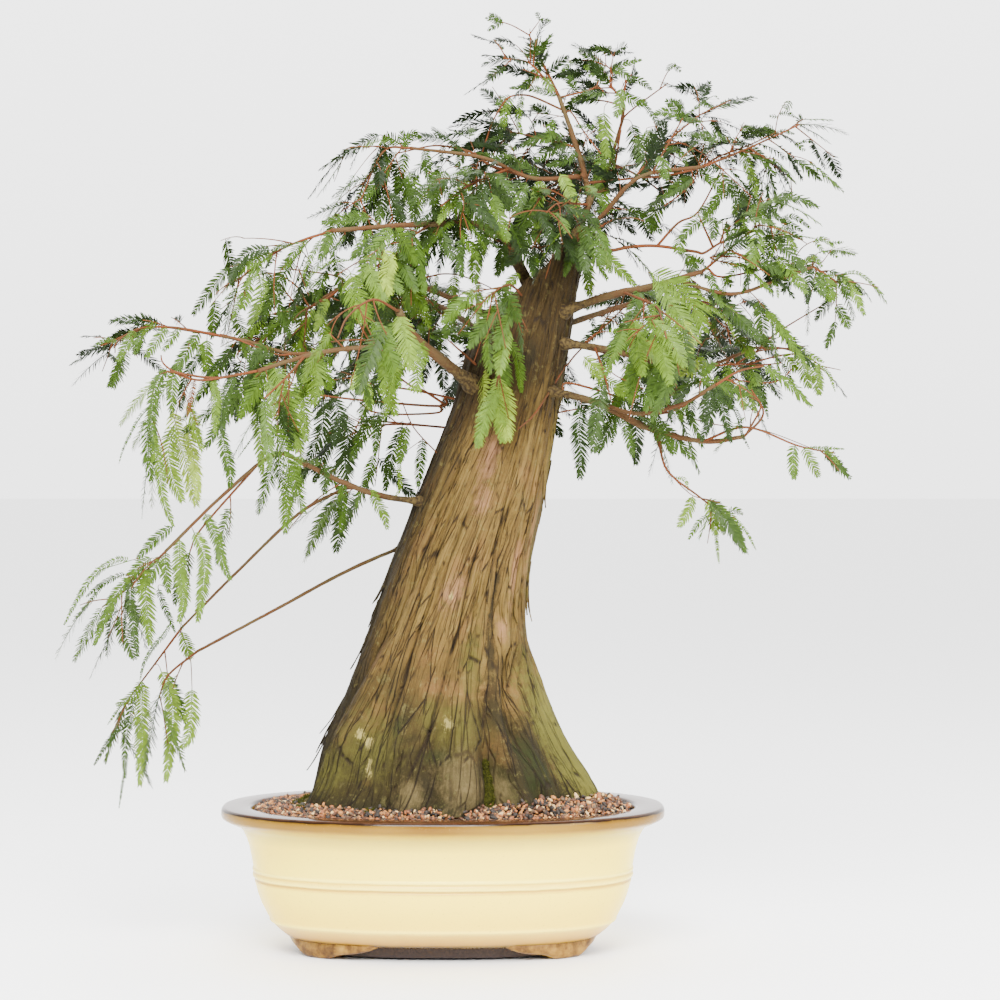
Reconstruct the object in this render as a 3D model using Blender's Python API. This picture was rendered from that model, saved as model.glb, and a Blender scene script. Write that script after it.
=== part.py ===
"""A bald cypress bonsai in its glazed oval pot, in metres, standing on the floor at z = 0.

The pot's centre is where the sizes below are taken from: x to the right, y to the back, z up.
"""

import math
import random

import bmesh
import bpy
import numpy as np
from mathutils import Vector
from mathutils.bvhtree import BVHTree

MM = 0.001
GAP = 0.35 * MM

# Pot
RIM_HALF_LENGTH = 250
OVAL_DIFFERENCE = 84
OVAL_POWER = 2.3
POT_SIDES = 28
RIM_HEIGHT = 165
# (half length, height) up the outside, over the rim and down the inside
POT_PROFILE = (
    (166, 18),
    (182, 24),
    (194, 37),
    (205, 57),
    (212, 79),
    (213.5, 84),
    (216, 92),
    (218, 112),
    (223, 132),
    (229, 143),
    (239, 147),
    (248, 152),
    (250, 156),
    (250, 162),
    (RIM_HALF_LENGTH - 2, RIM_HEIGHT),
    (218, RIM_HEIGHT),
    (215.5, 161),
    (211, 130),
    (198, 60),
    (174, 34),
)
# Feet: a bracket under each corner that stands on a short flat
FOOT_OUTER = 172
FOOT_INNER = 146
FOOT_TOP = 22
# (angle round the oval in degrees, height of the underside)
FOOT_OUTLINE = (
    (6, 17), (9, 14), (17, 12), (21, 8), (26, 1.5), (28, 0),
    (43, 0), (47, 3), (54, 9), (66, 15), (72, 17),
)

# Soil
SOIL_FLOOR = 34.5
SOIL_EDGE = 157.5
SOIL_CROWN = 165.5

# Trunk: (height, left edge, right edge, half depth)
TRUNK_BASE = 166
TRUNK_STATIONS = (
    (166, -148, 159, 98),
    (176, -143, 156, 95),
    (190, -139, 150, 90),
    (210, -137, 140, 86),
    (240, -131, 124, 82),
    (285, -111, 107, 78),
    (330, -95, 96, 75),
    (380, -76, 92, 73),
    (440, -56, 98, 70),
    (500, -33, 111, 66),
    (560, -10, 122, 62),
    (620, 14, 132, 58),
    (680, 28, 141, 54),
    (720, 40, 147, 51),
    (760, 56, 154, 46),
    (802, 74, 160, 40),
)
TRUNK_SIDES = 36
# Heights at which the trunk's skin has its rings
TRUNK_RINGS = (
    166, 176, 190, 210, 240, 265, 295, 330, 370, 410, 455, 500, 560, 620, 680, 720, 760, 802,
)
# Buttress roots: (direction in degrees, half spread in degrees, how far it stands out at the soil)
ROOTS = (
    (-98, 22, 0.16),
    (-52, 13, 0.20),
    (-12, 20, 0.12),
    (38, 22, 0.10),
    (86, 20, 0.14),
    (140, 24, 0.12),
    (196, 24, 0.06),
    (-138, 18, 0.14),
)
ROOT_VALLEY = 0.10
ROOT_RISE = 135
# Flutes and ribs: (how far they stand out, half width, the line they follow from the top down as
# (direction in degrees, height)), sizes in millimetres
FLUTES = (
    (-13, 13, ((-38, 345), (-41, 299), (-48, 266), (-52, 233), (-54, 201), (-49, 166))),
    (-13, 12, ((-59, 335), (-61, 289), (-65, 251), (-68, 213), (-70, 166))),
    (7, 9, ((-52, 295), (-55, 239), (-57, 206), (-58, 166))),
    (8, 24, ((2, 350), (0, 272), (-3, 221), (-14, 166))),
    (8, 16, ((-72, 300), (-74, 246), (-80, 208), (-85, 166))),
    (-9, 10, ((-85, 300), (-87, 262), (-93, 230), (-97, 197), (-98, 166))),
    (-9, 11, ((-132, 450), (-134, 421), (-138, 376), (-146, 331), (-156, 286), (-158, 236), (-160, 166))),
    (6, 13, ((-138, 300), (-144, 237), (-150, 203), (-152, 166))),
    (-7, 9, ((-126, 290), (-128, 244), (-133, 205), (-136, 166))),
    (-8, 9, ((-58, 530), (-56, 466), (-52, 410), (-55, 355), (-57, 327), (-56, 298))),
    (-10, 12, ((18, 480), (22, 330), (26, 240), (24, 166))),
    (7, 18, ((44, 360), (42, 250), (40, 166))),
    (-9, 12, ((66, 600), (60, 420), (64, 280), (62, 166))),
    (7, 20, ((86, 380), (84, 260), (86, 166))),
    (-10, 12, ((100, 520), (106, 340), (112, 166))),
    (6, 18, ((140, 340), (138, 240), (140, 166))),
    (-9, 12, ((152, 640), (160, 430), (168, 260), (172, 166))),
)
FLUTE_FADE = 45
# The slanting cut across the top: a point on it and its rise to the right
TOP_CUT_X = 45
TOP_CUT_HEIGHT = 714
TOP_CUT_SLOPE = 0.81

# Boughs: name, what bears it, where (height on the trunk, or share of a bough), route, radii
BOUGHS = (
    ("bough_left_front", "trunk", 610,
     ((0, -75, 665), (-30, -110, 690), (-45, -140, 715)), (7, 4.5)),
    ("bough_left_long", "bough_left_front", 0.45,
     ((-70, -128, 677), (-130, -150, 670), (-195, -165, 650)), (3, 2.2)),
    ("bough_left_far", "bough_left_long", 0.5,
     ((-160, -120, 670), (-215, -100, 685), (-265, -90, 695)), (2.3, 1.8)),
    ("bough_left_arch", "trunk", 745,
     ((55, -60, 810), (-25, -90, 812), (-120, -100, 805)), (4, 2.5)),
    ("bough_left_mid", "trunk", 700,
     ((-15, 75, 750), (-85, 85, 770), (-140, 75, 740)), (3.8, 2.3)),
    ("bough_left_low", "trunk", 500,
     ((-60, -40, 513), (-110, -60, 530), (-150, -70, 550)), (3.8, 2.5)),
    ("bough_left_sweep", "bough_left_low", 1,
     ((-185, -80, 560), (-240, -100, 515), (-300, -115, 455)), (2.4, 1.7)),
    ("bough_left_second", "bough_left_low", 0.6,
     ((-160, -30, 495), (-230, -10, 430), (-295, -5, 365)), (2, 1.5)),
    ("bough_left_lowest", "trunk", 488,
     ((-95, 20, 435), (-190, 0, 385), (-275, -30, 340)), (2.3, 1.6)),
    ("bough_right_upper", "trunk", 705,
     ((180, -55, 735), (230, -85, 745), (285, -110, 760)), (5.5, 2.6)),
    ("bough_right_far", "bough_right_upper", 0.82,
     ((315, -120, 735), (365, -120, 750), (405, -110, 765)), (2.2, 1.6)),
    ("bough_right_mid", "trunk", 690,
     ((170, -40, 680), (230, -60, 665)), (5, 2.8)),
    ("bough_right_outer", "bough_right_mid", 1,
     ((285, -45, 657), (350, -20, 680)), (2.4, 1.7)),
    ("bough_right_low", "trunk", 640,
     ((165, -65, 620), (225, -100, 590), (285, -115, 575), (330, -110, 580)), (4.5, 2.3)),
    ("bough_right_reach", "bough_right_low", 0.28,
     ((215, -120, 605), (260, -150, 615), (295, -165, 635)), (2.6, 1.8)),
    ("leader", "trunk", 728,
     ((160, 5, 830), (160, 10, 875), (145, 10, 925), (130, 0, 965)), (4.5, 2.2)),
    ("bough_top_right", "leader", 0.16,
     ((180, -5, 830), (220, -30, 870), (290, -50, 880)), (3, 2)),
    ("bough_top_back", "leader", 0.32,
     ((185, 40, 880), (205, 55, 945)), (2.8, 1.8)),
    ("bough_top_left", "leader", 0.5,
     ((100, -20, 870), (45, -45, 890), (-35, -55, 900)), (2.8, 1.8)),
    ("bough_back_left", "trunk", 670,
     ((10, 120, 725), (-30, 175, 745)), (4, 2.6)),
    ("bough_back_right", "trunk", 690,
     ((195, 120, 730), (245, 170, 745)), (4, 2.6)),
)
BOUGH_SIDES = 5
BOUGH_STEPS = 3

# Masses of foliage: name, what bears it, where, route of the stem, bare share of the stem,
# (reach round the stem, drop of its space below the stem), sprays, how far they hang
MASSES = (
    ("foliage_left_weeping", "bough_left_long", 1,
     ((-255, -175, 640), (-298, -170, 648), (-312, -168, 600)), 0.15, (50, 125), 13, 0.9),
    ("foliage_left_hanging", "bough_left_long", 0.75,
     ((-160, -190, 645), (-185, -200, 620)), 0.1, (62, 85), 13, 0.8),
    ("foliage_left_tip", "bough_left_far", 1,
     ((-320, -85, 700), (-375, -80, 680)), 0.05, (45, 30), 8, 0.5),
    ("foliage_left_arch", "bough_left_arch", 1,
     ((-175, -95, 785), (-225, -90, 750)), 0.05, (58, 50), 12, 0.5),
    ("foliage_left_mid", "bough_left_mid", 1,
     ((-175, 60, 715), (-220, 50, 685)), 0.05, (62, 40), 11, 0.5),
    ("foliage_left_front", "bough_left_front", 1,
     ((-70, -190, 725), (-95, -220, 700)), 0.1, (72, 55), 14, 0.7),
    ("foliage_left_under", "trunk", 610,
     ((-45, 10, 635), (-105, 20, 635)), 0.4, (60, 25), 8, 0.5),
    ("foliage_left_lower", "trunk", 585,
     ((-65, 80, 595), (-130, 100, 575)), 0.4, (75, 60), 12, 0.7),
    ("foliage_low_left", "bough_left_sweep", 1,
     ((-335, -120, 420), (-368, -120, 395)), 0.05, (56, 30), 10, 0.5),
    ("foliage_low_hanging", "bough_left_sweep", 0.45,
     ((-262, -100, 480), (-275, -100, 455)), 0.2, (40, 55), 6, 0.9),
    ("foliage_lowest_outer", "bough_left_second", 1,
     ((-325, 0, 325), (-355, 0, 285)), 0.2, (42, 85), 8, 0.9),
    ("foliage_lowest_inner", "bough_left_lowest", 1,
     ((-305, -45, 315), (-315, -55, 290)), 0.2, (40, 75), 8, 0.9),
    ("foliage_crown_left", "bough_top_left", 1,
     ((-65, -60, 895), (-90, -65, 840)), 0.05, (60, 55), 12, 0.6),
    ("foliage_crown_left_low", "bough_top_left", 0.5,
     ((30, -90, 855), (0, -120, 830)), 0.2, (65, 35), 10, 0.5),
    ("foliage_arch_inner", "bough_left_arch", 0.62,
     ((-40, -120, 790), (-55, -140, 765)), 0.2, (58, 40), 10, 0.7),
    ("foliage_crown_inner", "leader", 0.66,
     ((110, 30, 920), (70, 40, 930)), 0.1, (65, 35), 11, 0.4),
    ("foliage_crown_top", "leader", 1,
     ((112, -10, 985), (95, -15, 1000), (68, -20, 1004)), 0.05, (46, 15), 9, 0.2),
    ("foliage_crown_top_right", "bough_top_back", 1,
     ((205, 50, 965), (188, 45, 982)), 0.05, (62, 30), 10, 0.3),
    ("foliage_crown_right", "bough_top_right", 0.5,
     ((250, 0, 910), (290, 20, 945)), 0.2, (60, 30), 10, 0.4),
    ("foliage_crown_right_tip", "bough_top_right", 1,
     ((340, -55, 900), (395, -60, 925)), 0.05, (52, 40), 10, 0.5),
    ("foliage_crown_centre", "leader", 0.3,
     ((130, -60, 838), (115, -100, 825)), 0.2, (65, 40), 10, 0.5),
    ("foliage_right_upper", "bough_right_upper", 1,
     ((315, -130, 785), (345, -140, 810)), 0.05, (62, 35), 11, 0.4),
    ("foliage_right_far", "bough_right_far", 1,
     ((422, -105, 755), (438, -100, 745)), 0.05, (44, 25), 8, 0.5),
    ("foliage_right_front", "bough_right_upper", 0.45,
     ((230, -160, 720), (235, -200, 700)), 0.2, (68, 45), 13, 0.7),
    ("foliage_right_mid", "bough_right_reach", 1,
     ((320, -170, 650), (345, -175, 655)), 0.05, (52, 35), 9, 0.6),
    ("foliage_right_outer", "bough_right_outer", 1,
     ((390, -10, 678), (430, 0, 655)), 0.05, (52, 30), 9, 0.5),
    ("foliage_right_low", "bough_right_mid", 0.5,
     ((178, -95, 650), (185, -115, 620)), 0.3, (48, 55), 8, 0.9),
    ("foliage_right_low_tip", "bough_right_low", 1,
     ((352, -100, 605), (340, -90, 632)), 0.1, (44, 25), 7, 0.5),
    ("foliage_right_outlier", "bough_right_low", 0.75,
     ((330, -140, 590), (385, -150, 570), (425, -150, 562)), 0.78, (32, 15), 4, 0.5),
    ("foliage_right_hanging", "bough_right_low", 0.55,
     ((245, -120, 545), (280, -130, 515), (312, -130, 492)), 0.68, (36, 32), 5, 0.8),
    ("foliage_front_trunk", "trunk", 665,
     ((68, -90, 665), (60, -100, 635)), 0.75, (30, 45), 5, 1.0),
    ("foliage_front_top", "trunk", 730,
     ((75, -110, 745), (50, -150, 730)), 0.5, (58, 35), 9, 0.6),
    ("foliage_back_left", "bough_back_left", 1,
     ((-75, 205, 745), (-120, 225, 730)), 0.05, (88, 50), 15, 0.5),
    ("foliage_back_right", "bough_back_right", 1,
     ((295, 200, 745), (340, 215, 730)), 0.05, (88, 50), 15, 0.5),
    ("foliage_back_middle", "trunk", 650,
     ((85, 140, 685), (80, 210, 700)), 0.4, (85, 45), 13, 0.5),
    ("foliage_back_high", "leader", 0.4,
     ((145, 100, 880), (135, 165, 875)), 0.1, (85, 35), 13, 0.4),
)
STEM_STEPS = 2
STEM_RADII = (2.4, 1.8)
TWIG_RADII = (2.0, 1.5)
TWIG_ANGLE = math.radians(55)
SPRAYS_PER_TWIG = 3
SPRAY_LENGTHS = (74, 112)
SPRAY_TEETH = 2
SPRAY_WIDTH_SHARE = 0.15
SPRAY_NOTCH = 0.55
SPRAY_PEAK = 0.13
SPRAY_RIDGE = 2.0
SPRAY_SUNK = 0.5
SPRAY_TRIES = 90
MOST_REACH = 0.98


def clear_scene():
    for found in list(bpy.data.objects):
        bpy.data.objects.remove(found, do_unlink=True)


def material(name, colour, roughness, metallic=0.0):
    made = bpy.data.materials.new(name)
    made.use_nodes = True
    shader = made.node_tree.nodes["Principled BSDF"]
    shader.inputs["Base Color"].default_value = (*colour, 1.0)
    shader.inputs["Roughness"].default_value = roughness
    shader.inputs["Metallic"].default_value = metallic
    made.diffuse_color = (*colour, 1.0)
    return made


def object_of(name, bm, finish, smooth_angle=None):
    """The bmesh as an object with outward faces, shaded smooth below the angle where one is given."""
    bmesh.ops.recalc_face_normals(bm, faces=bm.faces)
    mesh = bpy.data.meshes.new(name)
    bm.to_mesh(mesh)
    bm.free()
    if smooth_angle is not None:
        mesh.shade_smooth()
        mesh.set_sharp_from_angle(angle=math.radians(smooth_angle))
    mesh.materials.append(finish)
    made = bpy.data.objects.new(name, mesh)
    bpy.context.scene.collection.objects.link(made)
    return made


def skin(rings):
    """A closed bmesh over rings of points, with a flat face across the first and the last."""
    bm = bmesh.new()
    rows = [[bm.verts.new(point) for point in ring] for ring in rings]
    sides = len(rows[0])
    for low, high in zip(rows, rows[1:]):
        for i in range(sides):
            after = (i + 1) % sides
            bm.faces.new((low[i], low[after], high[after], high[i]))
    bm.faces.new(rows[0])
    bm.faces.new(rows[-1])
    return bm


def apply_modifiers(made):
    graph = bpy.context.evaluated_depsgraph_get()
    result = bpy.data.meshes.new_from_object(made.evaluated_get(graph))
    made.modifiers.clear()
    made.data = result


def join_all(base, others, solver):
    """One Boolean union of the base with a collection of helpers, applied, and the helpers removed."""
    helpers = bpy.data.collections.new(base.name + "_helpers")
    for other in others:
        helpers.objects.link(other)
    boolean = base.modifiers.new("join", "BOOLEAN")
    boolean.operation = "UNION"
    boolean.operand_type = "COLLECTION"
    boolean.collection = helpers
    boolean.solver = solver
    apply_modifiers(base)
    for other in others:
        bpy.data.objects.remove(other, do_unlink=True)
    bpy.data.collections.remove(helpers)


def keep_largest(made):
    """Drops the loose scraps and fills the sealed hollows that a Boolean leaves."""
    bm = bmesh.new()
    bm.from_mesh(made.data)
    left = set(bm.verts)
    bodies = []
    while left:
        body, edge = set(), [left.pop()]
        while edge:
            vert = edge.pop()
            body.add(vert)
            near = {link.other_vert(vert) for link in vert.link_edges} & left
            left -= near
            edge += near
        bodies.append(body)
    bodies.sort(key=len)
    for body in bodies[:-1]:
        bmesh.ops.delete(bm, geom=list(body), context="VERTS")
    bm.to_mesh(made.data)
    bm.free()


def cut_clear(piece, cutter):
    """Cuts the piece back from a neighbour's cutter."""
    boolean = piece.modifiers.new("clear_of_" + cutter.name, "BOOLEAN")
    boolean.operation = "DIFFERENCE"
    boolean.object = cutter
    boolean.solver = "EXACT"


def swollen(source, amount, name):
    """A copy of the object whose skin stands out by the amount, as a hidden cutter."""
    bm = bmesh.new()
    bm.from_mesh(source.data)
    bm.normal_update()
    for vert in bm.verts:
        vert.co += vert.normal * amount
    made = object_of(name, bm, source.data.materials[0])
    made.hide_render = True
    made.display_type = "WIRE"
    return made


def oval_point(half_length, angle, height):
    """A point in metres on the pot's oval of this half length, at the angle in degrees."""
    across, back = math.cos(math.radians(angle)), math.sin(math.radians(angle))
    share = 2 / OVAL_POWER
    return Vector((
        half_length * math.copysign(abs(across) ** share, across),
        (half_length - OVAL_DIFFERENCE) * math.copysign(abs(back) ** share, back),
        height,
    )) * MM


def oval_ring(half_length, height):
    return [oval_point(half_length, 360 * i / POT_SIDES, height) for i in range(POT_SIDES)]


def foot(turn_x, turn_y, finish):
    """A bracket foot along the oval's corner, mirrored into its quarter."""
    sections = []
    for angle, low in FOOT_OUTLINE:
        corners = [
            oval_point(FOOT_OUTER, angle, FOOT_TOP),
            oval_point(FOOT_OUTER - 2, angle, low),
            oval_point(FOOT_INNER, angle, low),
            oval_point(FOOT_INNER, angle, FOOT_TOP),
        ]
        sections.append([Vector((p.x * turn_x, p.y * turn_y, p.z)) for p in corners])
    return object_of("foot", skin(sections), finish)


def make_pot():
    finish = material("pot_glaze", (0.80, 0.72, 0.52), 0.2)
    pot = object_of("pot", skin([oval_ring(*row) for row in POT_PROFILE]), finish)
    feet = [foot(x, y, finish) for x in (-1, 1) for y in (-1, 1)]
    join_all(pot, feet, "EXACT")
    pot.data.shade_smooth()
    pot.data.set_sharp_from_angle(angle=math.radians(35))
    return pot


def make_soil():
    """The packed soil, which fills the pot and rises a little to the trunk."""
    wall = 2
    rows = (
        (174 - wall, SOIL_FLOOR),
        (198 - wall, 60),
        (211 - wall, 130),
        (215 - wall, SOIL_EDGE),
        (196, SOIL_CROWN),
    )
    finish = material("gravel", (0.36, 0.25, 0.17), 0.9)
    return object_of("soil", skin([oval_ring(*row) for row in rows]), finish)


def between_stations(height):
    """The trunk's left edge, right edge and half depth at a height, in millimetres."""
    heights = [row[0] for row in TRUNK_STATIONS]
    return [float(np.interp(height, heights, [row[k] for row in TRUNK_STATIONS])) for k in (1, 2, 3)]


def trunk_centre(height):
    left, right, _ = between_stations(height)
    return Vector(((left + right) / 2, 0, height)) * MM


def turned_from(angle, direction):
    """How many degrees an angle lies round from a direction, the shorter way."""
    return (angle - direction + 180) % 360 - 180


def root_swell(angle, height):
    """How far the trunk's skin stands out or in, as a share of its width, for the buttress roots."""
    fade = math.exp(-(height - TRUNK_BASE) / ROOT_RISE)
    swell = -ROOT_VALLEY
    for direction, spread, out in ROOTS:
        swell += (out + ROOT_VALLEY) * math.exp(-((turned_from(angle, direction) / spread) ** 2))
    return 1 + swell * fade


def flute_out(angle, height, radius):
    """How far the flutes and ribs carry the skin out or in at a place, in millimetres."""
    total = 0.0
    for out, half, line in FLUTES:
        directions, heights = zip(*reversed(line))
        if not heights[0] <= height <= heights[-1]:
            continue
        ends = min(1.0, (heights[-1] - height) / FLUTE_FADE)
        if heights[0] > TRUNK_BASE:
            ends = min(ends, (height - heights[0]) / FLUTE_FADE)
        direction = float(np.interp(height, heights, directions))
        off = math.radians(turned_from(angle, direction)) * radius / half
        total += out * ends * math.exp(-off * off)
    return total


def lean_of(angle, height):
    """How far the strips of bark have swung round by this height: they lean over at the front left."""
    return 8 * math.exp(-((turned_from(angle, -115) / 50) ** 2)) * (560 - height) / 100


def make_trunk():
    """The trunk with its flared foot, fluted along its old bark, and its slanting sawn top."""
    rings = []
    for height in TRUNK_RINGS:
        left, right, half_depth = between_stations(height)
        middle, half_width = (left + right) / 2, (right - left) / 2
        ring = []
        for i in range(TRUNK_SIDES):
            strip = 360 * i / TRUNK_SIDES - 180
            angle = strip - lean_of(strip, height)
            across, back = math.cos(math.radians(angle)), math.sin(math.radians(angle))
            swell = root_swell(angle, height)
            flute = flute_out(angle, height, (half_width + half_depth) / 2)
            ring.append(Vector((
                middle + (half_width * swell + flute) * across,
                (half_depth * swell + flute) * back,
                height,
            )) * MM)
        rings.append(ring)
    bm = skin(rings)
    slope = math.atan(TOP_CUT_SLOPE)
    cut = bmesh.ops.bisect_plane(
        bm,
        geom=bm.verts[:] + bm.edges[:] + bm.faces[:],
        plane_co=Vector((TOP_CUT_X, 0, TOP_CUT_HEIGHT)) * MM,
        plane_no=(-math.sin(slope), 0, math.cos(slope)),
        clear_outer=True,
    )
    edges = [e for e in cut["geom_cut"] if isinstance(e, bmesh.types.BMEdge)]
    bmesh.ops.contextual_create(bm, geom=edges)
    return object_of("trunk", bm, material("trunk_bark", (0.26, 0.19, 0.12), 0.85), 50)


def smooth_route(points, steps):
    """Points along a curve through the given ones, with so many steps between each two."""
    ends = [points[0] * 2 - points[1], *points, points[-1] * 2 - points[-2]]
    curve = []
    for i in range(1, len(ends) - 2):
        a, b, c, d = ends[i - 1:i + 3]
        for step in range(steps):
            t = step / steps
            curve.append(0.5 * (
                2 * b + (c - a) * t + (2 * a - 5 * b + 4 * c - d) * t * t
                + (3 * b - a - 3 * c + d) * t * t * t
            ))
    return [*curve, points[-1]]


def along(route, share):
    """(point, direction) at a share of a route's points."""
    place = min(max(share, 0.0), 1.0) * (len(route) - 1)
    i = min(int(place), len(route) - 2)
    return route[i].lerp(route[i + 1], place - i), (route[i + 1] - route[i]).normalized()


def tube(route, radii, sides):
    """A closed bmesh round a route, tapering from the first radius to the second, in millimetres."""
    rings = []
    side = Vector((0.31, 0.93, 0.17))
    for i, point in enumerate(route):
        ahead = (route[min(i + 1, len(route) - 1)] - route[max(i - 1, 0)]).normalized()
        side = (side - ahead * side.dot(ahead)).normalized()
        other = ahead.cross(side)
        radius = (radii[0] + (radii[1] - radii[0]) * i / (len(route) - 1)) * MM
        turns = [2 * math.pi * k / sides for k in range(sides)]
        rings.append([point + (side * math.cos(turn) + other * math.sin(turn)) * radius for turn in turns])
    return skin(rings)


def route_from(bearer, share, points, steps, routes):
    """The smooth route of a limb from its bearer: inside it, or just beyond its tip where share is 1."""
    places = [Vector(point) * MM for point in points]
    if bearer == "trunk":
        return smooth_route([trunk_centre(share), *places], steps)
    start, ahead = along(routes[bearer], share)
    if share == 1:
        start = start + ahead * GAP
    return smooth_route([start, *places], steps)


def make_boughs(trunk_cutter):
    """Every bough, cut clear of what bears it, and the route of each by name."""
    finish = material("bough_bark", (0.28, 0.17, 0.10), 0.75)
    boughs, routes = {}, {}
    for name, bearer, share, points, radii in BOUGHS:
        routes[name] = route_from(bearer, share, points, BOUGH_STEPS, routes)
        boughs[name] = object_of(name, tube(routes[name], radii, BOUGH_SIDES), finish, 70)
        if bearer == "trunk":
            cut_clear(boughs[name], trunk_cutter)
        else:
            cut_clear(boughs[name], swollen(boughs[bearer], GAP, name + "_seat"))
    return boughs, routes


def tree_of(objects):
    """One search tree over the faces of several objects."""
    points, faces = [], []
    for found in objects:
        first = len(points)
        points += [vert.co.copy() for vert in found.data.vertices]
        faces += [[first + k for k in face.vertices] for face in found.data.polygons]
    return BVHTree.FromPolygons(points, faces)


class Spaces:
    """Which mass each place in the crown belongs to: the one whose stem, or the space that hangs
    below it, is nearest for that mass's reach."""

    def __init__(self, routes):
        points, reaches, owners = [], [], []
        for name, _, _, _, bare, (reach, drop), _, _ in MASSES:
            for share in np.linspace(bare, 1.0, 5):
                place, _ = along(routes[name], share)
                for fall in (0.0, 0.5, 1.0):
                    points.append(place - Vector((0, 0, drop * fall * MM)))
                    reaches.append(reach * MM)
                    owners.append(name)
        self.points = np.array(points)
        self.reaches = np.array(reaches)
        self.owners = np.array(owners)

    def hold(self, name, places):
        """Whether all the places are within the mass's own space."""
        for place in places:
            shares = np.linalg.norm(self.points - np.array(place), axis=1) / self.reaches
            own = shares[self.owners == name].min()
            if own > 1.0 or shares.min() < own * MOST_REACH:
                return False
        return True


def spray_blade(root, ahead, facing, length):
    """(points, faces) of a spray of needles: a toothed blade, flat below and highest just beyond
    its root, which is one point sunk in the twig."""
    facing = (facing - ahead * facing.dot(ahead)).normalized()
    across = facing.cross(ahead)
    half = length * SPRAY_WIDTH_SHARE
    edge = []
    for tooth in range(SPRAY_TEETH):
        share = (tooth + 1) / (SPRAY_TEETH + 0.55)
        fullness = math.sin(math.pi * (0.12 + 0.80 * share)) * half
        edge.append((share * 0.94 * length, fullness))
        if tooth < SPRAY_TEETH - 1:
            edge.append((share * length, SPRAY_NOTCH * fullness))
    outline = [(0.0, 0.0), *edge, (length, 0.0), *[(x, -y) for x, y in reversed(edge)]]
    points = [root + ahead * x + across * y for x, y in outline]
    count = len(points)
    points.append(root + ahead * length * SPRAY_PEAK + facing * SPRAY_RIDGE * MM)
    faces = [list(range(count))[::-1]]
    faces += [[k, (k + 1) % count, count] for k in range(count)]
    return points, faces


def blade_object(points, faces, finish):
    bm = bmesh.new()
    verts = [bm.verts.new(point) for point in points]
    for face in faces:
        bm.faces.new([verts[k] for k in face])
    return object_of("spray", bm, finish)


def wild(rng, amount):
    """A seeded offset of up to so much along each axis."""
    return Vector([rng.uniform(-amount, amount) for _ in range(3)])


def make_mass(row, route, spaces, limb_tree, placed, finish):
    """One mass: twigs that leave its stem on either side, and sprays on them all round, each kept
    only where it stays in the mass's space and touches no limb, other mass or other spray."""
    name, bearer, _, _, bare, (reach, drop), spray_count, hang = row
    twig_count = spray_count // SPRAYS_PER_TWIG
    rng = random.Random(name)
    down = Vector((0, 0, -1))
    heart = trunk_centre(700)
    stem = object_of(name, tube(route, STEM_RADII, 3), finish)
    pieces = []
    hosts = [(route, bare)]
    for i in range(twig_count):
        share = bare + (1 - bare) * (i + 0.6) / twig_count
        start, ahead = along(route, share)
        across = ahead.cross(down).normalized() * (1 if i % 2 else -1)
        heading = (
            ahead * math.cos(TWIG_ANGLE) + across * math.sin(TWIG_ANGLE) * (1 - 0.4 * hang)
            + down * (0.9 * hang - 0.25) + wild(rng, 0.25)
        ).normalized()
        size = (reach * 0.62 + drop * 0.55 * max(0.0, -heading.z)) * rng.uniform(0.75, 1.0) * MM
        twig = [start, start + heading * size + down * size * 0.15]
        if not spaces.hold(name, twig[1:]):
            continue
        made = object_of("twig", tube(twig, TWIG_RADII, 3), finish)
        if tree_of([made]).overlap(limb_tree):
            bpy.data.objects.remove(made, do_unlink=True)
            continue
        pieces.append(made)
        hosts.append((twig, 0.35))
    ends = [(host, 1.0) for host, _ in hosts]
    kept = 0
    for attempt in range(SPRAY_TRIES):
        if kept == spray_count:
            break
        if attempt < len(ends):
            host, share = ends[attempt]
        else:
            host, first = rng.choice(hosts)
            share = rng.uniform(first, 0.95)
        start, ahead = along(host, share)
        outward = (start - heart) * Vector((1, 1, 0))
        outward.normalize()
        if share < 1.0:
            turn = rng.uniform(0, 2 * math.pi)
            side = ahead.orthogonal().normalized()
            side = side * math.cos(turn) + ahead.cross(side) * math.sin(turn)
            heading = ahead * 0.7 + side * 0.8
        else:
            heading = ahead.copy()
            start = start - ahead * 1.5 * MM
        heading = (heading + down * (0.85 * hang - 0.1) + wild(rng, 0.2)).normalized()
        facing = outward * hang + Vector((0, 0, 1)) * (1 - 0.7 * hang)
        facing = (facing + wild(rng, 0.45)).normalized()
        if abs(facing.dot(heading)) > 0.85:
            continue
        start = start - heading * SPRAY_SUNK * MM
        length = rng.uniform(*SPRAY_LENGTHS) * MM
        points, faces = spray_blade(start, heading, facing, length)
        if not spaces.hold(name, points[1::2]):
            continue
        tree = BVHTree.FromPolygons(points, faces)
        if tree.overlap(limb_tree) or (placed and tree.overlap(placed)):
            continue
        free = [start + (point - start) * 0.86 + heading * length * 0.14 for point in points]
        tree = BVHTree.FromPolygons(free, faces)
        if any(tree.overlap(tree_of([other])) for other in [stem, *pieces]):
            continue
        pieces.append(blade_object(points, faces, finish))
        kept += 1
    join_all(stem, pieces, "MANIFOLD")
    return stem


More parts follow.
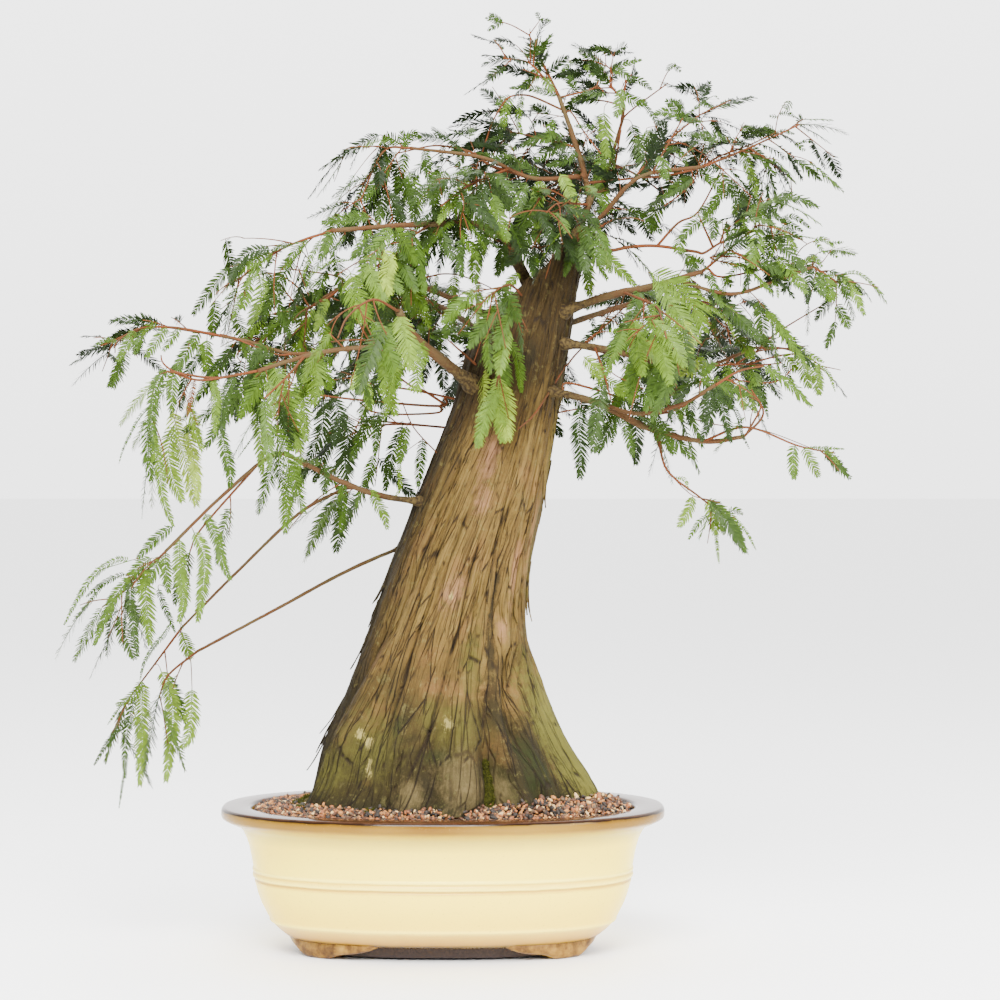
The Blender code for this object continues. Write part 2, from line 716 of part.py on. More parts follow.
def make_masses(boughs, routes, trunk, trunk_cutter, others):
    finish = material("foliage", (0.16, 0.29, 0.06), 0.6)
    for name, bearer, share, points, *_ in MASSES:
        routes[name] = route_from(bearer, share, points, STEM_STEPS, routes)
    spaces = Spaces(routes)
    guards = [swollen(found, 2 * GAP, "guard") for found in [*boughs.values(), trunk, *others]]
    limb_tree = tree_of(guards)
    for guard in guards:
        bpy.data.objects.remove(guard, do_unlink=True)
    masses = []
    for row in MASSES:
        name, bearer = row[:2]
        placed = tree_of(masses) if masses else None
        mass = make_mass(row, routes[name], spaces, limb_tree, placed, finish)
        if bearer == "trunk":
            cut_clear(mass, trunk_cutter)
        else:
            cut_clear(mass, swollen(boughs[bearer], GAP, name + "_seat"))
        apply_modifiers(mass)
        keep_largest(mass)
        masses.append(mass)
    return masses


def centre_on_floor(objects):
    """Parents everything to one empty, moved so that the plant's box is centred over the origin."""
    graph = bpy.context.evaluated_depsgraph_get()
    corners = []
    for found in objects:
        mesh = found.evaluated_get(graph).to_mesh()
        corners += [vert.co[:2] for vert in mesh.vertices]
    corners = np.array(corners)
    middle = (corners.min(axis=0) + corners.max(axis=0)) / 2
    stand = bpy.data.objects.new("stand", None)
    bpy.context.scene.collection.objects.link(stand)
    stand.location = (-round(middle[0], 3), -round(middle[1], 3), 0)
    for found in bpy.data.objects:
        if found is not stand:
            found.parent = stand


clear_scene()
pot_object = make_pot()
soil_object = make_soil()
trunk_object = make_trunk()
trunk_seat = swollen(trunk_object, GAP, "trunk_seat")
bough_objects, limb_routes = make_boughs(trunk_seat)
mass_objects = make_masses(bough_objects, limb_routes, trunk_object, trunk_seat, [pot_object, soil_object])
centre_on_floor([pot_object, soil_object, trunk_object, *bough_objects.values(), *mass_objects])
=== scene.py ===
import math
import random

import bmesh
import bpy
import numpy as np
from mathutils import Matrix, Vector, noise


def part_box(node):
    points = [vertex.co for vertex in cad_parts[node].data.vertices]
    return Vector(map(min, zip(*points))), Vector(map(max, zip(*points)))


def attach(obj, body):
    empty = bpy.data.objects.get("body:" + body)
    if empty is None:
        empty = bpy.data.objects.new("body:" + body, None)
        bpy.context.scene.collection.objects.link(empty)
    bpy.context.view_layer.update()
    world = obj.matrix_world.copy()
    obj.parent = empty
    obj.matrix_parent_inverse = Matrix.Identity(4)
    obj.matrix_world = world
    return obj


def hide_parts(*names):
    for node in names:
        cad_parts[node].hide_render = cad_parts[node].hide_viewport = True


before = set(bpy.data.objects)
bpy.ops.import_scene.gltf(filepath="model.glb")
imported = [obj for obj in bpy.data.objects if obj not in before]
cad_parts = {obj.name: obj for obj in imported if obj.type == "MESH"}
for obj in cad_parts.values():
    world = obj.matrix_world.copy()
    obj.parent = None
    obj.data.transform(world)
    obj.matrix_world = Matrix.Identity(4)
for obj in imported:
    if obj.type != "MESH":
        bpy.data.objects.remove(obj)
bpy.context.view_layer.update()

# The pot is oval stoneware with a wide rim. It is dipped in a cream glaze that breaks to ochre and
# dark brown wherever it runs thin: along the rim, over the ridges and towards the foot. The darkest
# brown on the pot's underside is painted shade under the pot.
MM = 0.001
pot_low, pot_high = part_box("pot")
POT_CENTRE = Vector(((pot_low.x + pot_high.x) / 2, (pot_low.y + pot_high.y) / 2, 0))
RIM_HALF_LENGTH = (pot_high.x - pot_low.x) / 2 / MM
OVAL_DIFFERENCE = (pot_high.x - pot_low.x - pot_high.y + pot_low.y) / 2 / MM
OVAL_POWER = 2.3
RIM_HEIGHT = pot_high.z / MM
POT_SIDES = 180
POT_PROFILE = (
    (110, 15.5), (150, 15), (164, 15.2), (172, 17.5), (178, 21), (184, 26), (190, 31.8),
    (193.6, 35.6), (195.2, 36.2), (196.2, 37.4), (196.2, 38.6), (196.4, 40), (199.5, 46), (205, 57),
    (209, 68), (212, 79), (212.8, 82.2), (212.1, 83), (211.9, 84), (212.2, 85), (213.6, 85.6),
    (214.5, 86.4), (214.9, 88.2), (214.6, 90.2), (213.8, 91), (213.8, 92.2), (214.8, 93),
    (215.2, 94.8), (214.9, 96.4), (214.2, 97.2), (215.4, 104), (216.8, 112), (218.8, 121),
    (221.2, 129), (223.4, 134), (226, 139), (229.5, 143.4), (234, 145.6), (240, 148),
    (246.5, 151.2), (249, 153), (RIM_HALF_LENGTH, 155.6), (RIM_HALF_LENGTH, 160.2),
    (249.4, 162.8), (247.8, 164.6), (245.5, RIM_HEIGHT), (232, RIM_HEIGHT), (221, RIM_HEIGHT),
    (218, 164.3), (216.4, 162.6), (215.4, 160), (213.6, 150), (211, 130), (198, 60), (174, 34),
)


def oval_place(half_length, angle, height):
    """A place on the pot's oval of this half length, for an angle in degrees, sizes in millimetres."""
    across, back = math.cos(math.radians(angle)), math.sin(math.radians(angle))
    share = 2 / OVAL_POWER
    half_depth = half_length - OVAL_DIFFERENCE
    return POT_CENTRE + Vector((
        half_length * math.copysign(abs(across) ** share, across),
        half_depth * math.copysign(abs(back) ** share, back),
        height,
    )) * MM


def first_ring(bm, places):
    """A closed ring of joined points to grow a skin from."""
    ring = bmesh.ops.create_circle(bm, segments=len(places), radius=1)["verts"]
    for vert, place in zip(ring, places):
        vert.co = place
    return ring


def next_ring(bm, ring, places):
    """Extrudes the ring once more and sets the new points in their places."""
    edges = [bm.edges.get((a, b)) for a, b in zip(ring, ring[1:] + ring[:1])]
    grown = {v for v in bmesh.ops.extrude_edge_only(bm, edges=edges)["geom"] if isinstance(v, bmesh.types.BMVert)}
    after = [next(e.other_vert(old) for e in old.link_edges if e.other_vert(old) in grown) for old in ring]
    for vert, place in zip(after, places):
        vert.co = place
    return after


def skin(rings):
    """A closed skin through rings of places, with a face across each end."""
    bm = bmesh.new()
    ring = first_ring(bm, rings[0])
    start = ring
    for places in rings[1:]:
        ring = next_ring(bm, ring, places)
    bm.faces.new(start)
    bm.faces.new(ring)
    bmesh.ops.recalc_face_normals(bm, faces=bm.faces)
    return bm


def piece_from(name, bm, finish, sharp_above=40):
    """The skin as an object that is smooth except along edges sharper than the angle."""
    mesh = bpy.data.meshes.new(name)
    bm.to_mesh(mesh)
    bm.free()
    mesh.shade_smooth()
    mesh.set_sharp_from_angle(angle=math.radians(sharp_above))
    mesh.materials.append(finish)
    made = bpy.data.objects.new(name, mesh)
    bpy.context.scene.collection.objects.link(made)
    return made


class Wire:
    """One output in a finish's node tree, so that a sum on it is written as a plain sum."""

    def __init__(self, tree, socket=None):
        self.tree = tree
        self.socket = socket

    def node(self, kind, settings=None, sockets=None, out=0):
        made = self.tree.nodes.new("ShaderNode" + kind)
        for name, value in (settings or {}).items():
            if name == "stops":
                while len(made.color_ramp.elements) < len(value):
                    made.color_ramp.elements.new(1.0)
                for stop, (place, colour) in zip(made.color_ramp.elements, value):
                    stop.position = place
                    stop.color = (*colour, 1.0)
            else:
                setattr(made, name, value)
        for name, value in (sockets or {}).items():
            if isinstance(value, Wire):
                self.tree.links.new(value.socket, made.inputs[name])
            else:
                made.inputs[name].default_value = value
        return Wire(self.tree, made.outputs[out])

    def sum(self, operation, first, second):
        return self.node("Math", {"operation": operation}, {0: first, 1: second})

    def __add__(self, other):
        return self.sum("ADD", self, other)

    def __radd__(self, other):
        return self.sum("ADD", other, self)

    def __sub__(self, other):
        return self.sum("SUBTRACT", self, other)

    def __rsub__(self, other):
        return self.sum("SUBTRACT", other, self)

    def __mul__(self, other):
        return self.sum("MULTIPLY", self, other)

    def __rmul__(self, other):
        return self.sum("MULTIPLY", other, self)

    def __truediv__(self, other):
        return self.sum("DIVIDE", self, other)

    def object_place(self):
        return self.node("TexCoord", out="Object")

    def height(self):
        """How high a point lies, in millimetres."""
        return self.node("SeparateXYZ", sockets={"Vector": self.object_place()}, out="Z") / MM

    def stretched(self, scale):
        """Object coordinates, stretched by a scale for each axis."""
        return self.node("Mapping", sockets={"Vector": self.object_place(), "Scale": scale})

    def grain(self, place, scale, detail=3.0, roughness=0.5):
        sockets = {"Vector": place, "Scale": scale, "Detail": detail, "Roughness": roughness}
        return self.node("TexNoise", sockets=sockets)

    def between(self, value, low, high):
        """The value's share of the way from low to high, kept between 0 and 1."""
        sockets = {"Value": value, "From Min": low, "From Max": high}
        return self.node("MapRange", {"clamp": True}, sockets)

    def mixed(self, share, first, second):
        colours = {0: share}
        for place, colour in ((6, first), (7, second)):
            colours[place] = colour if isinstance(colour, Wire) else (*colour, 1.0)
        return self.node("Mix", {"data_type": "RGBA"}, colours, out=2)

    def ramp(self, value, stops):
        return self.node("ValToRGB", {"stops": stops}, {"Fac": value})

    def bumped(self, height, distance, strength=1.0):
        sockets = {"Height": height, "Distance": distance, "Strength": strength}
        return self.node("Bump", sockets=sockets)


def new_finish(name, **constants):
    """A material, its shader's sockets and a wire to start its nodes from."""
    made = bpy.data.materials.new(name)
    made.use_nodes = True
    sockets = made.node_tree.nodes["Principled BSDF"].inputs
    for socket, value in constants.items():
        sockets[socket.replace("_", " ")].default_value = value
    return made, sockets, Wire(made.node_tree)


def feed(sockets, **wires):
    for socket, wire in wires.items():
        wire.tree.links.new(wire.socket, sockets[socket.replace("_", " ")])


# (height in millimetres, colour of the glaze there); the greyer bands from 134 to 148 mm are painted shade under the
# overhanging rim
GLAZE_BANDS = (
    # The darkest bands, at 13 and 18 mm, are painted shade on the pot's underside
    (13, (0.030, 0.012, 0.004)), (18, (0.05, 0.022, 0.005)), (22, (0.38, 0.20, 0.025)),
    (33, (0.66, 0.43, 0.06)), (37, (0.97, 0.78, 0.11)), (41, (0.93, 0.67, 0.05)),
    (80, (0.98, 0.75, 0.055)), (83.5, (0.62, 0.39, 0.04)), (84.8, (0.62, 0.39, 0.04)),
    (87, (0.99, 0.83, 0.13)), (91.5, (0.78, 0.53, 0.04)), (95, (0.99, 0.83, 0.13)),
    # Painted shade: from 134 mm up to the ochre band the cream darkens under the overhanging rim
    (98, (0.98, 0.76, 0.055)), (128, (0.98, 0.75, 0.055)), (134, (0.80, 0.62, 0.06)),
    (141, (0.58, 0.45, 0.06)), (148, (0.36, 0.24, 0.022)), (151.5, (0.23, 0.125, 0.006)),
    (154, (0.150, 0.070, 0.001)), (160, (0.115, 0.050, 0.001)), (162, (0.05, 0.020, 0.001)),
)
TOP_BAND = 170
LIP_FROM = 161.9


def make_glaze():
    made, sockets, wire = new_finish("cream_glaze", Roughness=0.25, Coat_Weight=0.05, Coat_Roughness=0.05)
    sockets["Specular IOR Level"].default_value = 0.16
    place = wire.object_place()
    runs = wire.grain(place, 42.0, 4.0, 0.6) - 0.5
    height = wire.height() + runs * 2.6
    stops = [(at / TOP_BAND, colour) for at, colour in GLAZE_BANDS]
    base = wire.ramp(height / TOP_BAND, stops)
    cloud = wire.between(wire.grain(place, 7.0, 2.0), 0.35, 0.7)
    base = wire.mixed(cloud * 0.12, base, (0.85, 0.58, 0.06))
    specks = wire.between(wire.grain(place, 620.0, 1.0), 0.70, 0.76)
    base = wire.mixed(specks * 0.55, base, (0.34, 0.19, 0.04))
    pitted = wire.bumped(wire.grain(place, 160.0, 2.0), 0.0004, 0.35)
    feed(sockets, Base_Color=base, Normal=pitted)
    # The glaze pools thick and nearly black on the lip, and lies thinner and browner on top of it
    nodes = made.node_tree.nodes
    lip = nodes.new("ShaderNodeBsdfPrincipled")
    lip.inputs["Roughness"].default_value = 0.14
    lip.inputs["Specular IOR Level"].default_value = 0.10
    pooled = wire.between(wire.grain(place, 55.0, 3.0) * 3.0 + height, 164.5, 166.5)
    feed(lip.inputs, Base_Color=wire.mixed(pooled, (0.010, 0.0035, 0.0010), (0.045, 0.017, 0.006)), Normal=pitted)
    both = nodes.new("ShaderNodeMixShader")
    wire.tree.links.new(wire.between(height, LIP_FROM - 0.6, LIP_FROM + 0.6).socket, both.inputs["Fac"])
    wire.tree.links.new(nodes["Principled BSDF"].outputs["BSDF"], both.inputs[1])
    wire.tree.links.new(lip.outputs["BSDF"], both.inputs[2])
    wire.tree.links.new(both.outputs["Shader"], nodes["Material Output"].inputs["Surface"])
    return made


glaze = make_glaze()
pot_rings = [
    [oval_place(half, 360 * i / POT_SIDES, height) for i in range(POT_SIDES)]
    for half, height in POT_PROFILE
]
pot = piece_from("pot_body", skin(pot_rings), glaze, 50)
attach(pot, "root")
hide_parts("pot")

# Under the pot, set back behind the feet and below the floor of the pot, a low near-black ring is painted shadow: it
# stands for the shade under the pot between the feet.
RING_OUTER, RING_INNER, RING_LOW, RING_TOP = 157, 140, 3, 17


def make_shadow_finish():
    made, sockets, wire = new_finish("painted_underside_shadow", Roughness=0.8)
    shadow_mottle = wire.grain(wire.object_place(), 420.0, 3.0, 0.6)
    # Painted shadow: near-black colour for the shade under the pot
    base = wire.mixed(wire.between(shadow_mottle, 0.35, 0.7), (0.014, 0.007, 0.005), (0.040, 0.020, 0.012))
    feed(sockets, Base_Color=base, Normal=wire.bumped(shadow_mottle, 0.0005, 0.6))
    return made


ring_outline = (
    (RING_INNER, RING_TOP), (RING_OUTER, RING_TOP), (RING_OUTER, RING_LOW + 2), (RING_OUTER - 2, RING_LOW),
    (RING_INNER + 2, RING_LOW), (RING_INNER, RING_LOW + 2), (RING_INNER, RING_TOP - 0.5),
)
ring_rings = [
    [oval_place(half, 360 * i / POT_SIDES, height) for i in range(POT_SIDES)]
    for half, height in ring_outline
]
ring_bm = bmesh.new()
ring = first_ring(ring_bm, ring_rings[0])
start = ring
for places in ring_rings[1:]:
    ring = next_ring(ring_bm, ring, places)
bmesh.ops.bridge_loops(ring_bm, edges=[
    ring_bm.edges.get((a, b)) for loop in (start, ring) for a, b in zip(loop, loop[1:] + loop[:1])
])
bmesh.ops.recalc_face_normals(ring_bm, faces=ring_bm.faces)
shadow_ring = piece_from("shadow_ring", ring_bm, make_shadow_finish(), 50)
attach(shadow_ring, "root")

# The pot stands on four bracket feet, pressed in the same clay and luted on under its corners. Each
# has a short flat to stand on and a scrolled edge, and the glaze on it is thin and ochre.
FOOT_OUTER = 172
FOOT_INNER = 144
FOOT_JOINT = 24
FOOT_STEPS = 44
# (angle round the oval in degrees, height of the underside)
FOOT_EDGE = (
    (5, 17), (8, 13.5), (13, 11), (17, 9.5), (20, 7.0), (23, 3.5), (26, 0.8), (28, 0), (43, 0),
    (45.5, 1.5), (48, 4.5), (52, 6.5), (57, 7.5), (62, 9.5), (66, 13.0), (69, 17.5),
)


def foot_section(angle, low):
    """The foot cut across at an angle: a rounded outer face, the underside and the inner face."""
    outer = FOOT_OUTER + 2.5 * math.sin(math.pi * min(1.0, (FOOT_JOINT - low) / FOOT_JOINT))
    round_low = min(2.2, 0.3 * (FOOT_JOINT - low))
    return [
        oval_place(half, angle, height) for half, height in (
            (FOOT_OUTER - 3, FOOT_JOINT), (outer - 1, FOOT_JOINT - 4), (outer, (FOOT_JOINT + low) / 2),
            (outer - 0.8, low + 2 * round_low), (outer - 1.8, low + round_low), (outer - 3.6, low + 0.25),
            (outer - 5, low), (FOOT_INNER + 3, low), (FOOT_INNER + 1, low + 0.8),
            (FOOT_INNER, low + 2.4), (FOOT_INNER, FOOT_JOINT),
        )
    ]


def make_foot_glaze():
    made, sockets, wire = new_finish("thin_ochre_glaze", Roughness=0.35)
    sockets["Specular IOR Level"].default_value = 0.2
    place = wire.object_place()
    patches = wire.grain(place, 60.0, 4.0, 0.62)
    stops = (
        (0.30, (0.036, 0.015, 0.004)), (0.42, (0.11, 0.050, 0.008)),
        (0.56, (0.23, 0.120, 0.014)), (0.74, (0.34, 0.205, 0.032)),
    )
    base = wire.ramp(patches, stops)
    worn = wire.between(wire.height() + patches * 4.0, 4.5, 1.5)
    base = wire.mixed(worn * 0.8, base, (0.040, 0.018, 0.010))
    feed(sockets, Base_Color=base, Normal=wire.bumped(wire.grain(place, 300.0, 3.0), 0.0005, 0.5))
    return made


foot_glaze = make_foot_glaze()
edge_angles, edge_heights = zip(*FOOT_EDGE)
for turn_x in (-1, 1):
    for turn_y in (-1, 1):
        sections = []
        for i in range(FOOT_STEPS + 1):
            angle = edge_angles[0] + (edge_angles[-1] - edge_angles[0]) * i / FOOT_STEPS
            section = foot_section(angle, float(np.interp(angle, edge_angles, edge_heights)))
            offsets = [place - POT_CENTRE for place in section]
            sections.append([POT_CENTRE + Vector((o.x * turn_x, o.y * turn_y, o.z)) for o in offsets])
        side = ("right" if turn_x > 0 else "left") + ("_back" if turn_y > 0 else "_front")
        foot = piece_from("foot_" + side, skin(sections), foot_glaze, 50)
        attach(foot, "root")

# The trunk is living wood under soft fibrous bark, which runs in long strips with deep slits
# between them. It flares into buttress roots at the soil, and its top was sawn off at a slant.
TRUNK_FOOT = 165.5
# (height, left edge, right edge, half depth)
TRUNK_STATIONS = (
    (166, -148, 159, 98), (176, -143, 156, 95), (190, -139, 150, 90), (210, -137, 140, 86),
    (240, -131, 124, 82), (285, -111, 107, 78), (330, -95, 96, 75), (380, -76, 92, 73),
    (440, -56, 98, 70), (500, -33, 111, 66), (560, -10, 122, 62), (620, 14, 132, 58),
    (680, 28, 141, 54), (720, 40, 147, 51), (760, 56, 154, 46), (802, 74, 160, 40),
)
# Buttress roots: (direction in degrees, half spread in degrees, how far it stands out at the soil)
ROOTS = (
    (-98, 22, 0.16), (-52, 13, 0.20), (-12, 20, 0.12), (38, 22, 0.10),
    (86, 20, 0.14), (140, 24, 0.12), (196, 24, 0.06), (-138, 18, 0.14),
)
ROOT_VALLEY = 0.10
ROOT_RISE = 135
# Flutes and ribs: (how far they stand out, half width, the line they follow from the top down as
# (direction in degrees, height)), sizes in millimetres
FLUTES = (
    (-19, 14, ((-38, 345), (-41, 299), (-48, 266), (-52, 233), (-54, 201), (-49, 166))),
    (-17, 11, ((-59, 335), (-61, 289), (-65, 251), (-68, 213), (-70, 166))),
    (7, 9, ((-52, 295), (-55, 239), (-57, 206), (-58, 166))),
    (8, 24, ((2, 350), (0, 272), (-3, 221), (-14, 166))),
    (15, 17, ((-72, 290), (-75, 246), (-81, 208), (-86, 166))),
    (-9, 10, ((-85, 300), (-87, 262), (-93, 230), (-97, 197), (-98, 166))),
    (-9, 11, ((-132, 450), (-134, 421), (-138, 376), (-146, 331), (-156, 286), (-158, 236), (-160, 166))),
    (6, 13, ((-138, 300), (-144, 237), (-150, 203), (-152, 166))),
    (-7, 9, ((-126, 290), (-128, 244), (-133, 205), (-136, 166))),
    (-8, 9, ((-58, 530), (-56, 466), (-52, 410), (-55, 355), (-57, 327), (-56, 298))),
    (-10, 12, ((18, 480), (22, 330), (26, 240), (24, 166))),
    (7, 18, ((44, 360), (42, 250), (40, 166))),
    (-9, 12, ((66, 600), (60, 420), (64, 280), (62, 166))),
    (7, 20, ((86, 380), (84, 260), (86, 166))),
    (-10, 12, ((100, 520), (106, 340), (112, 166))),
    (6, 18, ((140, 340), (138, 240), (140, 166))),
    (-9, 12, ((152, 640), (160, 430), (168, 260), (172, 166))),
)
FLUTE_FADE = 45
CUT_X, CUT_HEIGHT, CUT_SLOPE = 45, 714, 0.81
# Narrow cracks between the strips of bark, given in the same way
CRACKS = (
    (-5, 3, ((-40, 480), (-40, 430), (-45, 372))), (-4, 2.6, ((-33, 500), (-34, 420), (-32, 372))),
    (-5, 2.8, ((-24, 450), (-27, 400), (-29, 372))), (-5, 3, ((-34, 354), (-40, 330), (-43, 292))),
    (-5, 3, ((-29, 350), (-33, 315), (-38, 288))), (-4, 2.6, ((-22, 346), (-26, 318), (-31, 292))),
    (-5, 3, ((-83, 366), (-89, 301), (-97, 246), (-108, 191))),
    (-5, 3, ((-104, 450), (-111, 372), (-113, 311), (-118, 245))),
    (-5, 3, ((-80, 470), (-81, 389), (-85, 334))), (-5, 3, ((-118, 560), (-124, 480), (-131, 400))),
    (-6, 3.5, ((-147, 350), (-149, 326))), (-4, 2.6, ((-97, 500), (-101, 420), (-104, 380))),
    (-4, 2.6, ((-66, 560), (-64, 500), (-66, 440))), (-4, 2.6, ((-45, 620), (-44, 560), (-47, 505))),
    (-5, 2.8, ((-140, 520), (-146, 440), (-153, 370))), (-4, 2.6, ((-112, 640), (-115, 560))),
    (-5, 3, ((-70, 230), (-74, 200), (-76, 180))), (-4, 2.6, ((-118, 300), (-124, 250), (-128, 205))),
)
STRAY_CRACKS = 170
# Where the bark's colour changes by stains and by painted shade, the 'dark' ones being painted shade in valleys and
# hollows: (what, direction in degrees, height, half width, half height)
STAINS_AND_SHADE = (
    ("algae", -12, 232, 42, 70), ("algae", -20, 300, 18, 60), ("algae", -82, 262, 30, 36),
    ("algae", -95, 272, 10, 26), ("algae", -125, 240, 34, 46), ("algae", -70, 330, 12, 60),
    ("algae", -143, 210, 26, 30), ("algae", 60, 220, 60, 70), ("algae", 150, 230, 60, 60),
    ("moss", -64, 196, 11, 34), ("moss", -46, 226, 15, 30), ("moss", -49, 200, 13, 26),
    ("moss", -111, 262, 8, 14), ("moss", -90, 228, 18, 11), ("moss", -170, 172, 26, 14),
    ("moss", 112, 190, 16, 30), ("moss", 24, 195, 14, 34), ("fresh", -92, 560, 12, 40),
    ("fresh", -87, 508, 10, 18), ("fresh", -90, 411, 15, 24), ("fresh", -45, 366, 7, 16),
    ("fresh", -38, 430, 6, 40), ("fresh", -20, 470, 8, 60), ("lichen", -132, 252, 5, 9),
    ("lichen", -127, 240, 6, 12), ("lichen", -124, 214, 4, 16), ("lichen", -92, 405, 3, 8),
    # The 'dark' marks are painted shade in the valleys between roots and in hollows
    ("lichen", -85, 263, 8, 12), ("dark", -165, 270, 20, 60), ("dark", -172, 215, 26, 44),
    ("dark", -74, 668, 9, 15), ("dark", -105, 668, 9, 16), ("dark", -147, 337, 4, 9),
    ("dark", -54, 400, 4, 40), ("dark", -56, 345, 5, 40), ("dark", -56, 292, 8, 36),
    ("dark", -52, 256, 12, 32), ("dark", -50, 214, 17, 36), ("dark", -40, 236, 13, 30),
    ("moss", -40, 206, 16, 26), ("dark", -178, 350, 10, 60), ("dark", -174, 400, 6, 50),
    ("dark", -170, 464, 5, 50), ("worn", -82, 200, 22, 34), ("worn", -64, 190, 8, 26),
    ("worn", -104, 186, 12, 18), ("algae", -16, 450, 9, 90), ("algae", -12, 560, 9, 90),
    ("algae", -8, 650, 9, 50), ("smooth", -12, 255, 30, 62), ("smooth", -8, 205, 36, 44),
    ("dark", -98, 192, 8, 20), ("dark", -70, 200, 6, 30),
)
TRUNK_SIDES = 400
TRUNK_ROWS = 236
station_heights = np.linspace(TRUNK_STATIONS[0][0], TRUNK_STATIONS[-1][0], 260)
station_rows = []
for column in (1, 2, 3):
    edge = np.interp(station_heights, [s[0] for s in TRUNK_STATIONS], [s[column] for s in TRUNK_STATIONS])
    padded = np.pad(edge, 6, mode="reflect", reflect_type="odd")
    station_rows.append(np.convolve(padded, np.ones(13) / 13, mode="valid"))


def trunk_ring(height):
    """The trunk's middle, half width and half depth at a height, in millimetres."""
    left, right, depth = [float(np.interp(height, station_heights, row)) for row in station_rows]
    return (left + right) / 2, (right - left) / 2, depth


def root_swell(angle, height):
    """How far the skin stands out or in for the buttress roots, as a share of the trunk's width."""
    swell = -ROOT_VALLEY
    for direction, spread, out in ROOTS:
        off = (angle - direction + 180) % 360 - 180
        swell += (out + ROOT_VALLEY) * math.exp(-((off / spread) ** 2))
    return 1 + swell * math.exp(-(height - TRUNK_STATIONS[0][0]) / ROOT_RISE)


def turned_from(angle, direction):
    """How many degrees an angle lies round from a direction, the shorter way."""
    return (angle - direction + 180) % 360 - 180


def stray_cracks(count):
    """More cracks by a seeded rule: each follows the strips for a short way."""
    rng = random.Random(4)
    made = []
    for _ in range(count):
        top = rng.uniform(215, 760)
        low = top - rng.uniform(30, 115)
        strip = rng.uniform(-180, 180)
        line = tuple((strip - lean_of(strip, height), height) for height in (top, (top + low) / 2, low))
        made.append((-rng.uniform(1.5, 4.0), rng.uniform(2.2, 3.2), line))
    return tuple(made)


def lean_of(angle, height):
    """How far the strips of bark have swung round by this height: they lean over at the front left."""
    return 8 * math.exp(-((turned_from(angle, -115) / 50) ** 2)) * (560 - height) / 100


def lines_at_heights(lines, fade):
    """For each millimetre of height, the lines that pass there: (direction, out, half width)."""
    lowest = TRUNK_STATIONS[0][0]
    rows = [[] for _ in range(round(TRUNK_STATIONS[-1][0] - lowest) + 40)]
    for number, (out, half, line) in enumerate(lines):
        heights = [height for _, height in reversed(line)]
        directions = [direction for direction, _ in reversed(line)]
        for row in range(max(0, int(heights[0] - lowest)), min(len(rows), int(heights[-1] - lowest))):
            height = row + lowest
            ends = min(1.0, (heights[-1] - height) / fade)
            if heights[0] > lowest + 1:
                ends = min(ends, (height - heights[0]) / fade)
            waver = noise.noise(Vector((height * 0.022, number * 7.3, 0)))
            direction = float(np.interp(height, heights, directions)) + 2.4 * waver
            rows[row].append((direction, out * ends * (1 + 0.5 * waver), half))
    return rows


flute_rows = lines_at_heights(FLUTES, FLUTE_FADE)
crack_rows = lines_at_heights(CRACKS + stray_cracks(STRAY_CRACKS), 12)


def bark_relief(angle, height):
    """(how far the bark stands out from the trunk's even skin, how much of that is its own grain)"""
    row = min(max(int(height - TRUNK_STATIONS[0][0]), 0), len(flute_rows) - 1)
    _, half_width, half_depth = trunk_ring(height)
    to_millimetres = math.radians((half_width + half_depth) / 2)
    flute, crack = 0.0, 0.0
    for direction, out, half in flute_rows[row]:
        off = turned_from(angle, direction) * to_millimetres / half
        flute += out * math.exp(-off * off) if abs(off) < 3 else 0.0
    for direction, out, half in crack_rows[row]:
        off = abs(turned_from(angle, direction)) * to_millimetres / half
        crack += out * (1 - off) if off < 1 else 0.0
    turn = math.radians(angle + lean_of(angle, height))
    around = Vector((math.cos(turn), math.sin(turn), 0)) * 95
    sway = noise.noise(around * 0.03 + Vector((0, 0, height * 0.006)))
    swells = noise.noise(around * 0.05 + Vector((sway, 0, height * 0.0040)))
    distances, cells = noise.voronoi(around * 0.090 + Vector((sway, 3, height * 0.0120)))
    level = noise.noise(cells[0] * 3.7)
    edge = min(1.0, (distances[1] - distances[0]) / 0.055)
    fibres = noise.noise(around * 0.30 + Vector((sway, 7, height * 0.008)))
    smooth = math.exp(-(turned_from(angle, -6) / 20) ** 2) * min(1.0, max(0.0, (330 - height) / 60))
    strips = 2.4 * level * edge - 1.0 * (1 - edge) + 0.5 * fibres
    grain = crack + strips * (1 - 0.75 * smooth)
    return flute + 2.5 * swells + grain, grain


def trunk_place(angle, height, out=0.0):
    """(place in metres, depth of the grain in millimetres) on the bark, or so far out from it."""
    middle, half_width, half_depth = trunk_ring(height)
    turn = math.radians(angle)
    swell = root_swell(angle, height)
    relief, grain = bark_relief(angle, height)
    across, back = math.cos(turn), math.sin(turn)
    return POT_CENTRE + Vector((
        middle + (half_width * swell + relief + out) * across,
        (half_depth * swell + relief + out) * back,
        height,
    )) * MM, grain


def top_height(angle):
    """How high the bark reaches at this angle: up to the slanting cut, torn unevenly."""
    height = 720.0
    for _ in range(12):
        middle, half_width, _ = trunk_ring(height)
        height = CUT_HEIGHT + CUT_SLOPE * (middle + half_width * math.cos(math.radians(angle)) - CUT_X)
    way = Vector((math.cos(math.radians(angle)), math.sin(math.radians(angle)), 4))
    return height + 8 * noise.noise(way * 4) + 6 * noise.noise(way * 17)


def stain_and_shade_shares(angle, height):
    """How much of each stain, and of the painted shade, lies at a place on the bark, by name."""
    _, half_width, half_depth = trunk_ring(height)
    to_millimetres = math.radians((half_width + half_depth) / 2)
    shares = dict.fromkeys(("algae", "moss", "fresh", "lichen", "dark", "worn", "smooth"), 0.0)
    for what, direction, middle, half, half_height in STAINS_AND_SHADE:
        up = (height - middle) / half_height
        if abs(up) < 2:
            off = turned_from(angle, direction) * to_millimetres / half
            shares[what] = max(shares[what], math.exp(-(off * off + up * up) * 0.8))
    return shares


